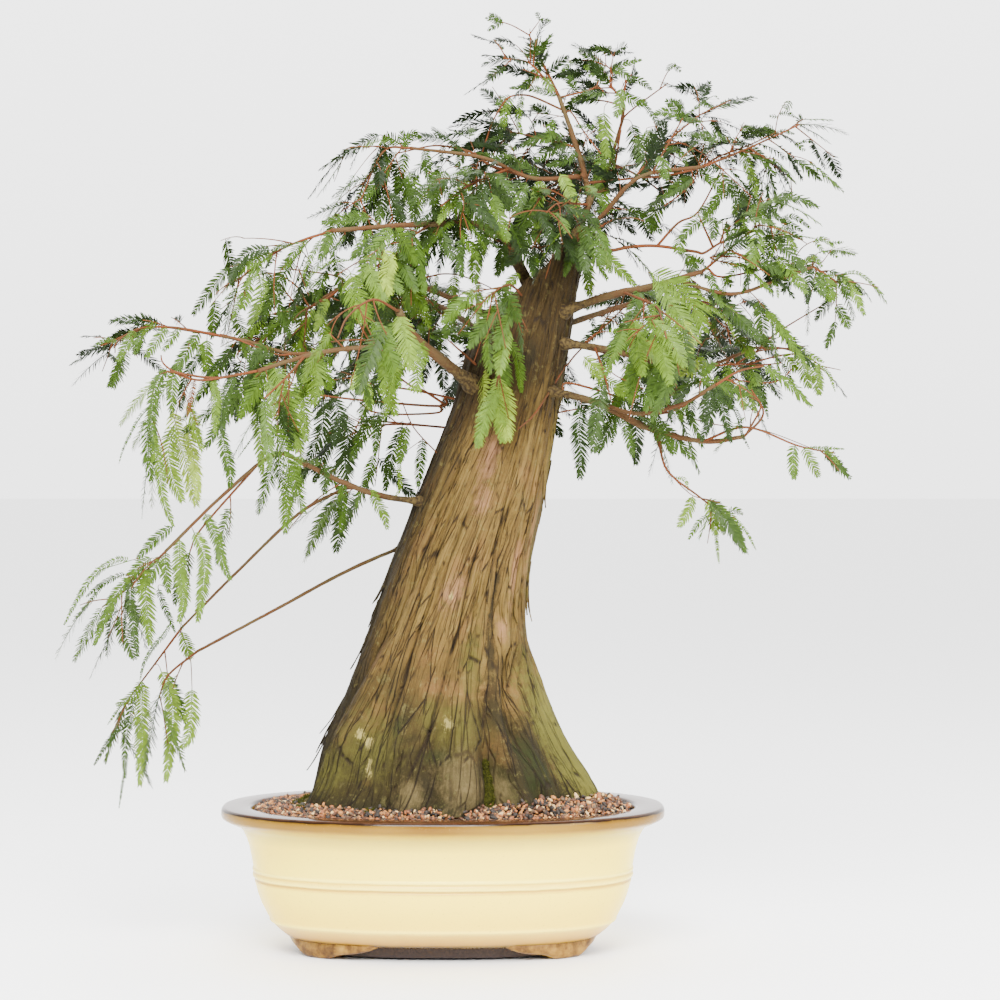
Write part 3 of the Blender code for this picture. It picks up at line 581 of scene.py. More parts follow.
def make_bark():
    made, sockets, wire = new_finish("trunk_bark", Roughness=0.9)
    sockets["Specular IOR Level"].default_value = 0.15
    strip = wire.node("Attribute", {"attribute_name": "strip_place"}, out="Vector")
    fine = wire.node("Mapping", sockets={"Vector": strip, "Scale": (1300.0, 1300.0, 75.0)})
    broad = wire.node("Mapping", sockets={"Vector": strip, "Scale": (150.0, 150.0, 6.0)})
    slats = wire.node("Mapping", sockets={"Vector": strip, "Scale": (95.0, 95.0, 12.0)})
    splits = wire.node("Mapping", sockets={"Vector": strip, "Scale": (260.0, 260.0, 22.0)})
    fibres = wire.grain(fine, 1.0, 4.0, 0.65)
    streaks = wire.grain(broad, 1.0, 4.0, 0.6)
    patches = wire.grain(strip, 22.0, 3.0)
    crack = wire.node("TexVoronoi", {"feature": "DISTANCE_TO_EDGE"}, {"Vector": slats, "Scale": 1.0})
    crack = wire.between(crack, 0.036, 0.008) * wire.between(wire.grain(broad, 2.3, 2.0), 0.38, 0.54)
    split = wire.node("TexVoronoi", {"feature": "DISTANCE_TO_EDGE"}, {"Vector": splits, "Scale": 1.0})
    split = wire.between(split, 0.060, 0.012) * wire.between(wire.grain(broad, 1.7, 3.0), 0.46, 0.58)
    slat_tone = wire.node("TexVoronoi", {"feature": "F1"}, {"Vector": slats, "Scale": 1.0}, out="Color")
    slat_tone = wire.node("SeparateXYZ", sockets={"Vector": slat_tone}, out="X")
    stops = (
        (0.24, (0.026, 0.014, 0.004)), (0.37, (0.060, 0.035, 0.008)), (0.52, (0.088, 0.053, 0.012)),
        (0.66, (0.106, 0.068, 0.017)), (0.84, (0.140, 0.094, 0.025)),
    )
    base = wire.ramp(streaks * 0.30 + fibres * 0.46 + slat_tone * 0.24, stops)
    base = wire.mixed(wire.between(patches, 0.55, 0.72) * 0.35, base, (0.150, 0.065, 0.026))
    # Darker olive towards the bottom of the trunk: partly mossy bark, partly painted shade
    low = wire.between(wire.height() + (patches - 0.5) * 260.0, 345.0, 225.0)
    base = wire.mixed(low * 0.90, base, (0.0095, 0.0080, 0.0018))
    foot = wire.between(wire.height() + (patches - 0.5) * 20.0, 186.0, 172.0)
    base = wire.mixed(foot * 0.6, base, (0.010, 0.009, 0.003))
    # Painted shade: the left side of the trunk is darkened as if turned from the light
    left = wire.between(wire.node("SeparateXYZ", sockets={"Vector": strip}, out="X"), -0.040, -0.090)
    base = wire.mixed(left * 0.88, base, (0.0070, 0.0055, 0.0025))
    # Painted shade: the trunk darkens towards its top, where the crown's shadow falls
    top = wire.between(wire.height() + (patches - 0.5) * 160.0, 560.0, 650.0)
    base = wire.mixed(top * 0.88, base, (0.015, 0.0085, 0.0015))
    mottle = wire.grain(wire.object_place(), 95.0, 5.0, 0.75)
    base = wire.mixed(wire.between(mottle, 0.52, 0.68) * 0.42, base, (0.030, 0.020, 0.007))
    base = wire.mixed(wire.between(mottle, 0.44, 0.32) * 0.35, base, (0.125, 0.110, 0.035))
    for what, colour, low_edge, high_edge in (
        ("smooth", (0.120, 0.112, 0.020), 0.40, 1.10), ("fresh", (0.200, 0.100, 0.048), 0.55, 1.40), ("algae", (0.058, 0.053, 0.009), 0.50, 1.40),
        # 'dark' is painted shade in valleys and hollows
        ("dark", (0.012, 0.009, 0.003), 0.36, 0.95), ("moss", (0.012, 0.015, 0.003), 0.50, 1.25),
        ("lichen", (0.22, 0.18, 0.055), 0.80, 1.1), ("worn", (0.085, 0.062, 0.024), 0.45, 1.30),
    ):
        share = wire.node("Attribute", {"attribute_name": what}, out="Fac")
        share = wire.between(share + (mottle - 0.5) * 2.0 + (fibres - 0.5) * 0.8 + 0.15, low_edge, high_edge)
        base = wire.mixed(share * 0.85, base, colour)
    # Painted shade: the bark is darkened where its grain lies deep, in the cracks and in the hollow of the sawn top
    depth = wire.node("Attribute", {"attribute_name": "grain"}, out="Fac")
    base = wire.mixed(wire.between(depth, -2.2, -5.5) * 0.85, base, (0.010, 0.006, 0.003))
    base = wire.mixed(crack * 0.85, base, (0.010, 0.006, 0.003))
    base = wire.mixed(split * 0.7, base, (0.014, 0.008, 0.003))
    rough = fibres * 0.6 + streaks * 0.7 - crack * 1.4 - split + slat_tone * 0.5
    feed(sockets, Base_Color=base, Normal=wire.bumped(rough, 0.0016, 0.9))
    return made


def store_bark(piece, marks):
    """Keeps on each point how deep the bark is there, where it lies on the strips, and its stains and painted shade.
    """
    for name in marks[0]:
        if name == "strip_place":
            store = piece.data.attributes.new(name, "FLOAT_VECTOR", "POINT")
            store.data.foreach_set("vector", np.array([mark[name] for mark in marks], np.float32).ravel())
        else:
            store = piece.data.attributes.new(name, "FLOAT", "POINT")
            store.data.foreach_set("value", np.array([mark[name] for mark in marks], np.float32))


def bark_mark(angle, height, grain):
    """What a point of the bark keeps for its finish."""
    turn = math.radians(angle + lean_of(angle, height))
    strip = (0.095 * math.cos(turn), 0.095 * math.sin(turn), height * MM)
    return {"grain": grain, "strip_place": strip, **stain_and_shade_shares(angle, height)}


bark = make_bark()
trunk_angles = [360 * i / TRUNK_SIDES for i in range(TRUNK_SIDES)]
column_tops = [top_height(angle) for angle in trunk_angles]
trunk_rings = []
marks = []
for row in range(TRUNK_ROWS + 1):
    share = row / TRUNK_ROWS
    ring = []
    for angle, top in zip(trunk_angles, column_tops):
        height = TRUNK_FOOT + (top - TRUNK_FOOT) * share
        place, grain = trunk_place(angle, height)
        ring.append(place)
        marks.append(bark_mark(angle, height, grain))
    trunk_rings.append(ring)
# The sawn top has weathered into a shallow hollow inside its ring of bark
rim = trunk_rings[-1]
rim_centre = sum(rim, Vector()) / len(rim)
for inward, sunk in ((0.94, 2), (0.86, 9), (0.70, 16), (0.45, 20), (0.2, 22)):
    ring = []
    for angle, place in zip(trunk_angles, rim):
        rough = 4 * noise.noise(place * 60) * MM
        ring.append(rim_centre.lerp(place, inward) + Vector((0, 0, rough - sunk * MM)))
        # The deeper the hollow, the lower the grain value, which darkens the bark there as painted shade
        marks.append(bark_mark(angle, place.z / MM, -1.0 - 0.15 * sunk))
    trunk_rings.append(ring)
trunk = piece_from("trunk_bark", skin(trunk_rings), bark, 75)
store_bark(trunk, marks)
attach(trunk, "root")
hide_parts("trunk")

# Old strips of bark have come loose at one end and stand off the trunk, thin and frayed.
# (direction in degrees, lowest and highest place, width, how far the loose end stands off, loose at the top)
LOOSE_STRIPS = (
    (-2, 372, 440, 11, 7, False), (-12, 380, 460, 9, 3, False), (-22, 374, 440, 9, 3, False),
    (-31, 370, 450, 9, 4, False), (-44, 372, 430, 8, 3, False), (-178, 392, 440, 6, 6, False),
    (176, 365, 420, 6, 5, False), (-176, 318, 360, 5, 5, False), (-174, 246, 290, 6, 9, False),
    (178, 232, 270, 6, 9, False), (-172, 205, 250, 6, 12, False), (-170, 225, 280, 7, 6, False),
    (-3, 500, 560, 7, 4, False), (-5, 580, 640, 7, 4, True), (-112, 366, 410, 9, 4, False),
    (-85, 430, 480, 7, 3, False), (-62, 395, 450, 8, 3, False), (-100, 330, 390, 7, 3, False),
)
FLAKES = 170
FLAKE_STEPS = 9
FLAKE_ACROSS = 4
rng = random.Random(21)
loose_strips = list(LOOSE_STRIPS)
for _ in range(FLAKES):
    angle, low = rng.uniform(-180, 180), rng.uniform(230, 600)
    top = min(low + rng.uniform(28, 95), top_height(angle) - 12)
    if top - low > 25 and low > 340 - 60 * math.cos(math.radians(angle + 180)):
        upward = rng.random() < 0.35
        loose_strips.append((angle, low, top, rng.uniform(3.5, 8.5), rng.uniform(1.0, 3.5), upward))
flake_points, flake_faces, flake_marks = [], [], []
for angle, low, top, width, lift, upward in loose_strips:
    middle, half_width, half_depth = trunk_ring(low)
    degrees_wide = math.degrees(width / ((half_width + half_depth) / 2))
    first = len(flake_points)
    for side in (0, 1):
        for i in range(FLAKE_STEPS):
            share = i / (FLAKE_STEPS - 1)
            loose = share if upward else 1 - share
            narrow = (1 - 0.85 * loose ** 4) * (0.55 + 0.45 * math.sin(math.pi * min(1, share + 0.25)))
            for j in range(FLAKE_ACROSS):
                across = (j / (FLAKE_ACROSS - 1) - 0.5) * narrow
                ragged = 1 + 0.25 * noise.noise(Vector((i * 1.3, j * 2.1, angle)))
                out = 0.7 + lift * loose ** 2 + (0.0 if side else -1.1)
                height = low + (top - low) * share + 4 * noise.noise(Vector((j, angle, loose)))
                swung = lean_of(angle, low) - lean_of(angle, height)
                here = angle + swung + across * degrees_wide * ragged
                place, grain = trunk_place(here, height, out)
                flake_points.append(place)
                flake_marks.append(bark_mark(here, height, max(grain, 0.0)))
    size = FLAKE_STEPS * FLAKE_ACROSS
    rows = range(FLAKE_STEPS - 1)
    for i in rows:
        for j in range(FLAKE_ACROSS - 1):
            a = first + i * FLAKE_ACROSS + j
            quad = (a, a + 1, a + FLAKE_ACROSS + 1, a + FLAKE_ACROSS)
            flake_faces.append(tuple(k + size for k in quad[::-1]))
            flake_faces.append(quad)
    border = [first + j for j in range(FLAKE_ACROSS)]
    border += [first + i * FLAKE_ACROSS + FLAKE_ACROSS - 1 for i in range(1, FLAKE_STEPS)]
    border += [first + (FLAKE_STEPS - 1) * FLAKE_ACROSS + j for j in reversed(range(FLAKE_ACROSS - 1))]
    border += [first + i * FLAKE_ACROSS for i in reversed(range(1, FLAKE_STEPS - 1))]
    for a, b in zip(border, border[1:] + border[:1]):
        flake_faces.append((a + size, b + size, b, a))
flake_mesh = bpy.data.meshes.new("bark_strips")
flake_mesh.from_pydata(flake_points, [], flake_faces)
flake_bm = bmesh.new()
flake_bm.from_mesh(flake_mesh)
bmesh.ops.recalc_face_normals(flake_bm, faces=flake_bm.faces)
flakes = piece_from("bark_strips", flake_bm, bark, 60)
store_bark(flakes, flake_marks)
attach(flakes, "root")

# The pot is filled with packed soil and topped with a loose layer of small river gravel, which
# heaps up a little against the roots.
soil_low, soil_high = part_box("soil")
SOIL_TOP = soil_high.z / MM
SOIL_EDGE = 157.5
GRAVEL_TONES = (
    ("gravel_brown", (0.078, 0.025, 0.005)), ("gravel_tan", (0.38, 0.150, 0.032)),
    ("gravel_grey", (0.12, 0.070, 0.030)), ("gravel_pale", (0.58, 0.370, 0.150)),
    ("gravel_dark", (0.016, 0.009, 0.004)), ("gravel_red", (0.26, 0.080, 0.018)),
)
GRAVEL_SHARES = (0.26, 0.17, 0.06, 0.08, 0.30, 0.13)
PEBBLES = 6400
# At the right the gravel heaps up higher: from here on, and by so much more
HEAP_FROM, HEAP_RISE = 30, 9
rng = np.random.default_rng(8)


def make_stone(name, colour):
    made, sockets, wire = new_finish(name, Roughness=0.72)
    place = wire.object_place()
    mottle = wire.grain(place, 380.0, 3.0, 0.6)
    darker = tuple(channel * 0.55 for channel in colour)
    base = wire.mixed(wire.between(mottle, 0.35, 0.65), darker, colour)
    feed(sockets, Base_Color=base, Normal=wire.bumped(wire.grain(place, 1500.0, 2.0), 0.0003, 0.6))
    return made


def soil_height(x, y):
    """The soil's height under a place that is given from the pot's centre, in millimetres."""
    reach = (abs(x / 196) ** OVAL_POWER + abs(y / 112) ** OVAL_POWER) ** (1 / OVAL_POWER)
    return float(np.interp(reach, (1.0, 1.10), (SOIL_TOP, SOIL_EDGE)))


def from_trunk(x, y, height):
    """How far a place lies outside the trunk's skin at this height, in millimetres."""
    middle, half_width, half_depth = trunk_ring(height)
    angle = math.degrees(math.atan2(y / half_depth, (x - middle) / half_width))
    place, _ = trunk_place(angle, height)
    here = Vector((x, y)) * MM
    edge = (place - POT_CENTRE).xy
    heart = Vector((middle, 0)) * MM
    return ((here - heart).length - (edge - heart).length) / MM


pebble_bm = bmesh.new()
bmesh.ops.create_icosphere(pebble_bm, subdivisions=1, radius=1)
pebble_points = np.array([vert.co[:] for vert in pebble_bm.verts])
pebble_faces = np.array([[vert.index for vert in face.verts] for face in pebble_bm.faces])
pebble_bm.free()
pebbles = {name: [] for name, _ in GRAVEL_TONES}
laid = 0
while laid < PEBBLES:
    turn = rng.uniform(0, 360)
    reach = math.sqrt(rng.uniform(0.03, 1.0))
    edge = oval_place(213, turn, 0) - POT_CENTRE
    x, y = edge.x * reach / MM, edge.y * reach / MM
    clear = from_trunk(x, y, TRUNK_STATIONS[0][0] + 3)
    if clear < -4:
        continue
    size = rng.uniform(1.3, 2.9) * (1.4 if rng.random() < 0.12 else 1.0)
    rise = min(1.0, max(0.0, (x - HEAP_FROM) / 60))
    heap = (5.5 + HEAP_RISE * rise) * math.exp(-max(clear, 0) / (13 + 16 * rise))
    height = soil_height(x, y) + heap * rng.uniform(0.3, 1.0) + size * rng.uniform(0.0, 0.7)
    spin = np.linalg.qr(rng.normal(size=(3, 3)))[0]
    lumps = pebble_points * rng.uniform(0.72, 1.22, (len(pebble_points), 1))
    shape = (lumps * np.array((rng.uniform(1.0, 1.7), 0.95, 0.65)) * size) @ spin.T
    tone = GRAVEL_TONES[rng.choice(len(GRAVEL_TONES), p=GRAVEL_SHARES)][0]
    pebbles[tone].append(shape + (x, y, height))
    laid += 1


def joined_mesh(name, points, faces, finish):
    """One object from arrays of many like things, in metres."""
    mesh = bpy.data.meshes.new(name)
    mesh.vertices.add(len(points))
    mesh.vertices.foreach_set("co", np.asarray(points, np.float32).ravel())
    corners = faces.shape[1]
    mesh.loops.add(faces.size)
    mesh.loops.foreach_set("vertex_index", faces.astype(np.int32).ravel())
    mesh.polygons.add(len(faces))
    mesh.polygons.foreach_set("loop_start", np.arange(0, faces.size, corners, dtype=np.int32))
    mesh.update(calc_edges=True)
    mesh.materials.append(finish)
    made = bpy.data.objects.new(name, mesh)
    bpy.context.scene.collection.objects.link(made)
    return made


def repeated(shapes, faces):
    """(points, faces) of many copies of one shape whose points are all given."""
    count = len(shapes[0])
    steps = np.arange(len(shapes))[:, None, None] * count
    return np.concatenate(shapes), (faces[None] + steps).reshape(-1, faces.shape[1])


if np.linalg.det(pebble_points[pebble_faces[0]]) < 0:
    pebble_faces = pebble_faces[:, ::-1]
for name, colour in GRAVEL_TONES:
    points, faces = repeated(pebbles[name], pebble_faces)
    heap = joined_mesh(name, points * MM + np.array(POT_CENTRE), faces, make_stone(name, colour))
    tidy = bmesh.new()
    tidy.from_mesh(heap.data)
    bmesh.ops.recalc_face_normals(tidy, faces=tidy.faces)
    tidy.to_mesh(heap.data)
    tidy.free()
    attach(heap, "root")


def make_earth():
    made, sockets, wire = new_finish("damp_soil", Roughness=0.95)
    place = wire.object_place()
    crumbs = wire.grain(place, 260.0, 4.0, 0.65)
    base = wire.ramp(crumbs, ((0.3, (0.045, 0.028, 0.018)), (0.7, (0.17, 0.105, 0.065))))
    feed(sockets, Base_Color=base, Normal=wire.bumped(crumbs, 0.002, 0.9))
    return made


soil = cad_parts["soil"]
soil.data.materials.clear()
soil.data.materials.append(make_earth())

# Moss grows on the soil against the roots and up the damp valleys between them, as low cushions
# of very short shoots.
# (direction from the trunk's middle in degrees, height on the bark, across, height of the cushion)
CUSHIONS = (
    (-170, 168, 15, 5), (-162, 169, 12, 5), (-178, 171, 10, 5), (-150, 167, 9, 4), (-70, 170, 9, 6),
    (-70, 178, 8, 8), (-69, 188, 7, 8), (-68, 198, 6, 8), (-68, 207, 5, 7), (-67, 216, 4, 6),
    (120, 168, 14, 5), (60, 168, 13, 5), (170, 169, 12, 5), (-120, 167, 8, 4), (112, 182, 8, 8),
)
SHOOTS_PER_CUSHION = 600
rng = np.random.default_rng(13)
shoots = []
moss_bm = bmesh.new()
for direction, height, across, rise in CUSHIONS:
    heart, _ = trunk_place(direction, height, 1.0)
    before = len(moss_bm.verts)
    mound = bmesh.ops.create_icosphere(moss_bm, subdivisions=3, radius=1)["verts"]
    for vert in mound:
        lump = 1 + 0.3 * noise.noise(vert.co * 2.3 + heart * 90)
        vert.co = heart + Vector((vert.co.x * across, vert.co.y * across, vert.co.z * rise)) * lump * MM
    for _ in range(SHOOTS_PER_CUSHION):
        aim = Vector(rng.normal(size=3)).normalized()
        aim.z = abs(aim.z)
        lump = 1 + 0.3 * noise.noise(aim * 2.3 + heart * 90)
        root = heart + Vector((aim.x * across, aim.y * across, aim.z * rise)) * lump * 0.96 * MM
        tip = root + (aim + Vector(rng.normal(size=3)) * 0.35 + Vector((0, 0, 0.5))) * rng.uniform(1.0, 2.2) * MM
        side = aim.cross(Vector(rng.normal(size=3))).normalized() * 0.32 * MM
        shoots.append(np.array((root - side, root + side, tip + side * 0.2)))


def make_moss(name, colour, darker):
    made, sockets, wire = new_finish(name, Roughness=0.9)
    sockets["Specular IOR Level"].default_value = 0.1
    tufts = wire.grain(wire.object_place(), 500.0, 3.0, 0.6)
    base = wire.mixed(wire.between(tufts, 0.35, 0.65), darker, colour)
    feed(sockets, Base_Color=base, Normal=wire.bumped(tufts, 0.0012, 1.0))
    return made


cushions = piece_from("moss_cushions", moss_bm, make_moss("moss_body", (0.030, 0.030, 0.003), (0.010, 0.011, 0.001)), 80)
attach(cushions, "root")
points, faces = repeated(shoots, np.array([[0, 1, 2]]))
shoot_piece = joined_mesh("moss_shoots", points, faces, make_moss("moss_shoot", (0.062, 0.062, 0.006), (0.022, 0.025, 0.003)))
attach(shoot_piece, "root")

# The boughs are thin round limbs under smooth reddish bark that turns grey brown with age. Near the
# trunk it darkens, partly as old bark and partly as painted shade where the bough meets the trunk. Each
# leaves the trunk or an older bough through a low collar and tapers along one long bend.
# name, what bears it, where (height on the trunk, or share of a bough), route, radii
BOUGHS = (
    ("bough_left_front", "trunk", 610, ((0, -75, 665), (-30, -110, 690), (-45, -140, 715)), (7, 4.5)),
    ("bough_left_long", "bough_left_front", 0.45, ((-70, -128, 677), (-130, -150, 670), (-195, -165, 650)), (3, 2.2)),
    ("bough_left_far", "bough_left_long", 0.5, ((-160, -120, 670), (-215, -100, 685), (-265, -90, 695)), (2.3, 1.8)),
    ("bough_left_arch", "trunk", 745, ((55, -60, 810), (-25, -90, 812), (-120, -100, 805)), (4, 2.5)),
    ("bough_left_mid", "trunk", 700, ((-15, 75, 750), (-85, 85, 770), (-140, 75, 740)), (3.8, 2.3)),
    ("bough_left_low", "trunk", 500, ((-60, -40, 513), (-110, -60, 530), (-150, -70, 550)), (3.8, 2.5)),
    ("bough_left_sweep", "bough_left_low", 1, ((-185, -80, 560), (-240, -100, 515), (-300, -115, 455)), (2.4, 1.7)),
    ("bough_left_second", "bough_left_low", 0.6, ((-160, -30, 495), (-230, -10, 430), (-295, -5, 365)), (2, 1.5)),
    ("bough_left_lowest", "trunk", 488, ((-95, 20, 435), (-190, 0, 385), (-275, -30, 340)), (2.3, 1.6)),
    ("bough_right_upper", "trunk", 705, ((180, -55, 735), (230, -85, 745), (285, -110, 760)), (5.5, 2.6)),
    ("bough_right_far", "bough_right_upper", 0.82, ((315, -120, 735), (365, -120, 750), (405, -110, 765)), (2.2, 1.6)),
    ("bough_right_mid", "trunk", 690, ((170, -40, 680), (230, -60, 665)), (5, 2.8)),
    ("bough_right_outer", "bough_right_mid", 1, ((285, -45, 657), (350, -20, 680)), (2.4, 1.7)),
    ("bough_right_low", "trunk", 640, ((165, -65, 620), (225, -100, 590), (285, -115, 575), (330, -110, 580)), (4.5, 2.3)),
    ("bough_right_reach", "bough_right_low", 0.28, ((215, -120, 605), (260, -150, 615), (295, -165, 635)), (2.6, 1.8)),
    ("leader", "trunk", 728, ((160, 5, 830), (160, 10, 875), (145, 10, 925), (130, 0, 965)), (4.5, 2.2)),
    ("bough_top_right", "leader", 0.16, ((180, -5, 830), (220, -30, 870), (290, -50, 880)), (3, 2)),
    ("bough_top_back", "leader", 0.32, ((185, 40, 880), (205, 55, 945)), (2.8, 1.8)),
    ("bough_top_left", "leader", 0.5, ((100, -20, 870), (45, -45, 890), (-35, -55, 900)), (2.8, 1.8)),
    ("bough_back_left", "trunk", 670, ((10, 120, 725), (-30, 175, 745)), (4, 2.6)),
    ("bough_back_right", "trunk", 690, ((195, 120, 730), (245, 170, 745)), (4, 2.6)),
)
BOUGH_SIDES = 12
BOUGH_STEPS = 16
COLLAR_RISE = 0.85
COLLAR_REACH = 1.3


def smooth_route(points, steps):
    """A curve through the points, with so many steps between each two."""
    ends = [points[0] * 2 - points[1], *points, points[-1] * 2 - points[-2]]
    curve = []
    for i in range(1, len(ends) - 2):
        a, b, c, d = ends[i - 1:i + 3]
        for step in range(steps):
            t = step / steps
            curve.append(0.5 * (
                2 * b + (c - a) * t + (2 * a - 5 * b + 4 * c - d) * t * t
                + (3 * b - a - 3 * c + d) * t * t * t
            ))
    return [*curve, points[-1]]


def along(route, share):
    """(place, direction) at a share of the way along a route."""
    place = min(max(share, 0.0), 1.0) * (len(route) - 1)
    i = min(int(place), len(route) - 2)
    return route[i].lerp(route[i + 1], place - i), (route[i + 1] - route[i]).normalized()


def limb(route, radii, sides, knobbly=0.0, collar_at=None):
    """(points, faces) of a closed tapering tube along a route, with a collar where it leaves the wood."""
    points = []
    away = 0.0
    side = Vector((0.31, 0.93, 0.17))
    last = len(route) - 1
    for i, place in enumerate(route):
        ahead = (route[min(i + 1, last)] - route[max(i - 1, 0)]).normalized()
        side = (side - ahead * side.dot(ahead)).normalized()
        other = ahead.cross(side)
        radius = (radii[0] + (radii[1] - radii[0]) * i / last) * MM
        closeness = 0.0
        if collar_at is not None:
            away += (place - route[i - 1]).length if i > collar_at else 0.0
            closeness = math.exp(-away / (COLLAR_REACH * radii[0] * MM))
            radius *= 1 + COLLAR_RISE * closeness
        for k in range(sides):
            turn = 2 * math.pi * k / sides
            out = side * math.cos(turn) + other * math.sin(turn)
            lump = noise.noise(place * 160 + out * 1.2) + noise.noise(place * 45)
            lump += 0.8 * closeness * noise.noise(place * 90 + out * 3.0)
            lump = 1 + knobbly * lump
            points.append(place + out * radius * lump)
    points += [route[0], route[-1]]
    faces = []
    for i in range(last):
        for k in range(sides):
            a, b = i * sides + k, i * sides + (k + 1) % sides
            faces += [(a, b, b + sides), (a, b + sides, a + sides)]
    start, end = len(points) - 2, len(points) - 1
    for k in range(sides):
        faces.append((start, (k + 1) % sides, k))
        faces.append((end, last * sides + k, last * sides + (k + 1) % sides))
    return np.array(points), np.array(faces)


def heaped(shapes):
    """(points, faces) of several different shapes as one."""
    points, faces, count = [], [], 0
    for shape_points, shape_faces in shapes:
        points.append(shape_points)
        faces.append(shape_faces + count)
        count += len(shape_points)
    return np.concatenate(points), np.concatenate(faces)


def route_from(bearer, share, places):
    """The smooth route of a limb, in metres, from inside what bears it."""
    places = [POT_CENTRE + Vector(place) * MM for place in places]
    if bearer == "trunk":
        middle, _, _ = trunk_ring(share)
        return smooth_route([POT_CENTRE + Vector((middle, 0, share)) * MM, *places], BOUGH_STEPS)
    start, _ = along(routes[bearer], share)
    return smooth_route([start, *places], BOUGH_STEPS)


def in_trunk(place):
    """Whether a place lies inside the trunk."""
    height = place.z / MM
    if height > 800:
        return False
    middle, half_width, half_depth = trunk_ring(height)
    x, y = (place - POT_CENTRE).x / MM - middle, (place - POT_CENTRE).y / MM
    return (x / half_width) ** 2 + (y / half_depth) ** 2 < 0.98


def make_bough_bark(name, young, old, fine):
    made, sockets, wire = new_finish(name, Roughness=0.85)
    sockets["Specular IOR Level"].default_value = 0.15
    place = wire.object_place()
    rings = wire.grain(place, fine, 4.0, 0.6)
    patches = wire.grain(place, 30.0, 2.0)
    base = wire.mixed(wire.between(patches + rings * 0.4, 0.55, 0.85), young, old)
    base = wire.mixed(wire.between(rings, 0.62, 0.75) * 0.5, base, tuple(channel * 0.4 for channel in young))
    # Old bark and painted shade: the bough darkens near where it leaves the trunk
    age_and_shade = wire.between(wire.node("Attribute", {"attribute_name": "old_bark"}, out="Fac") + rings * 0.5, 0.3, 0.9)
    weathered = wire.mixed(wire.between(rings, 0.4, 0.62), (0.014, 0.008, 0.003), (0.060, 0.040, 0.012))
    base = wire.mixed(age_and_shade, base, weathered)
    feed(sockets, Base_Color=base, Normal=wire.bumped(rings, 0.0008, 0.8))
    return made


# How far out from the trunk the old dark bark, with painted shade at the joint, reaches along a bough
OLD_BARK_AND_SHADE_REACH = 42
routes = {}
bough_shapes = []
old_bark = []
for name, bearer, share, places, radii in BOUGHS:
    routes[name] = route_from(bearer, share, places)
    collar_at = sum(in_trunk(place) for place in routes[name]) if bearer == "trunk" else 0
    bough_shapes.append(limb(routes[name], radii, BOUGH_SIDES, 0.14, collar_at))
    way, age_and_shade = 0.0, []
    for i, place in enumerate(routes[name]):
        way += (place - routes[name][i - 1]).length / MM if i > collar_at else 0.0
        old = math.exp(-(way / OLD_BARK_AND_SHADE_REACH) ** 2) if bearer == "trunk" else 0.0
        age_and_shade += [old] * BOUGH_SIDES
    old_bark += [*age_and_shade, age_and_shade[0], age_and_shade[-1]]
points, faces = heaped(bough_shapes)
bough_bark = make_bough_bark("bough_bark", (0.060, 0.024, 0.008), (0.055, 0.036, 0.013), 300.0)
boughs = joined_mesh("boughs", points, faces, bough_bark)
boughs.data.attributes.new("old_bark", "FLOAT", "POINT").data.foreach_set("value", old_bark)
boughs.data.shade_smooth()
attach(boughs, "root")
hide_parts(*[row[0] for row in BOUGHS])

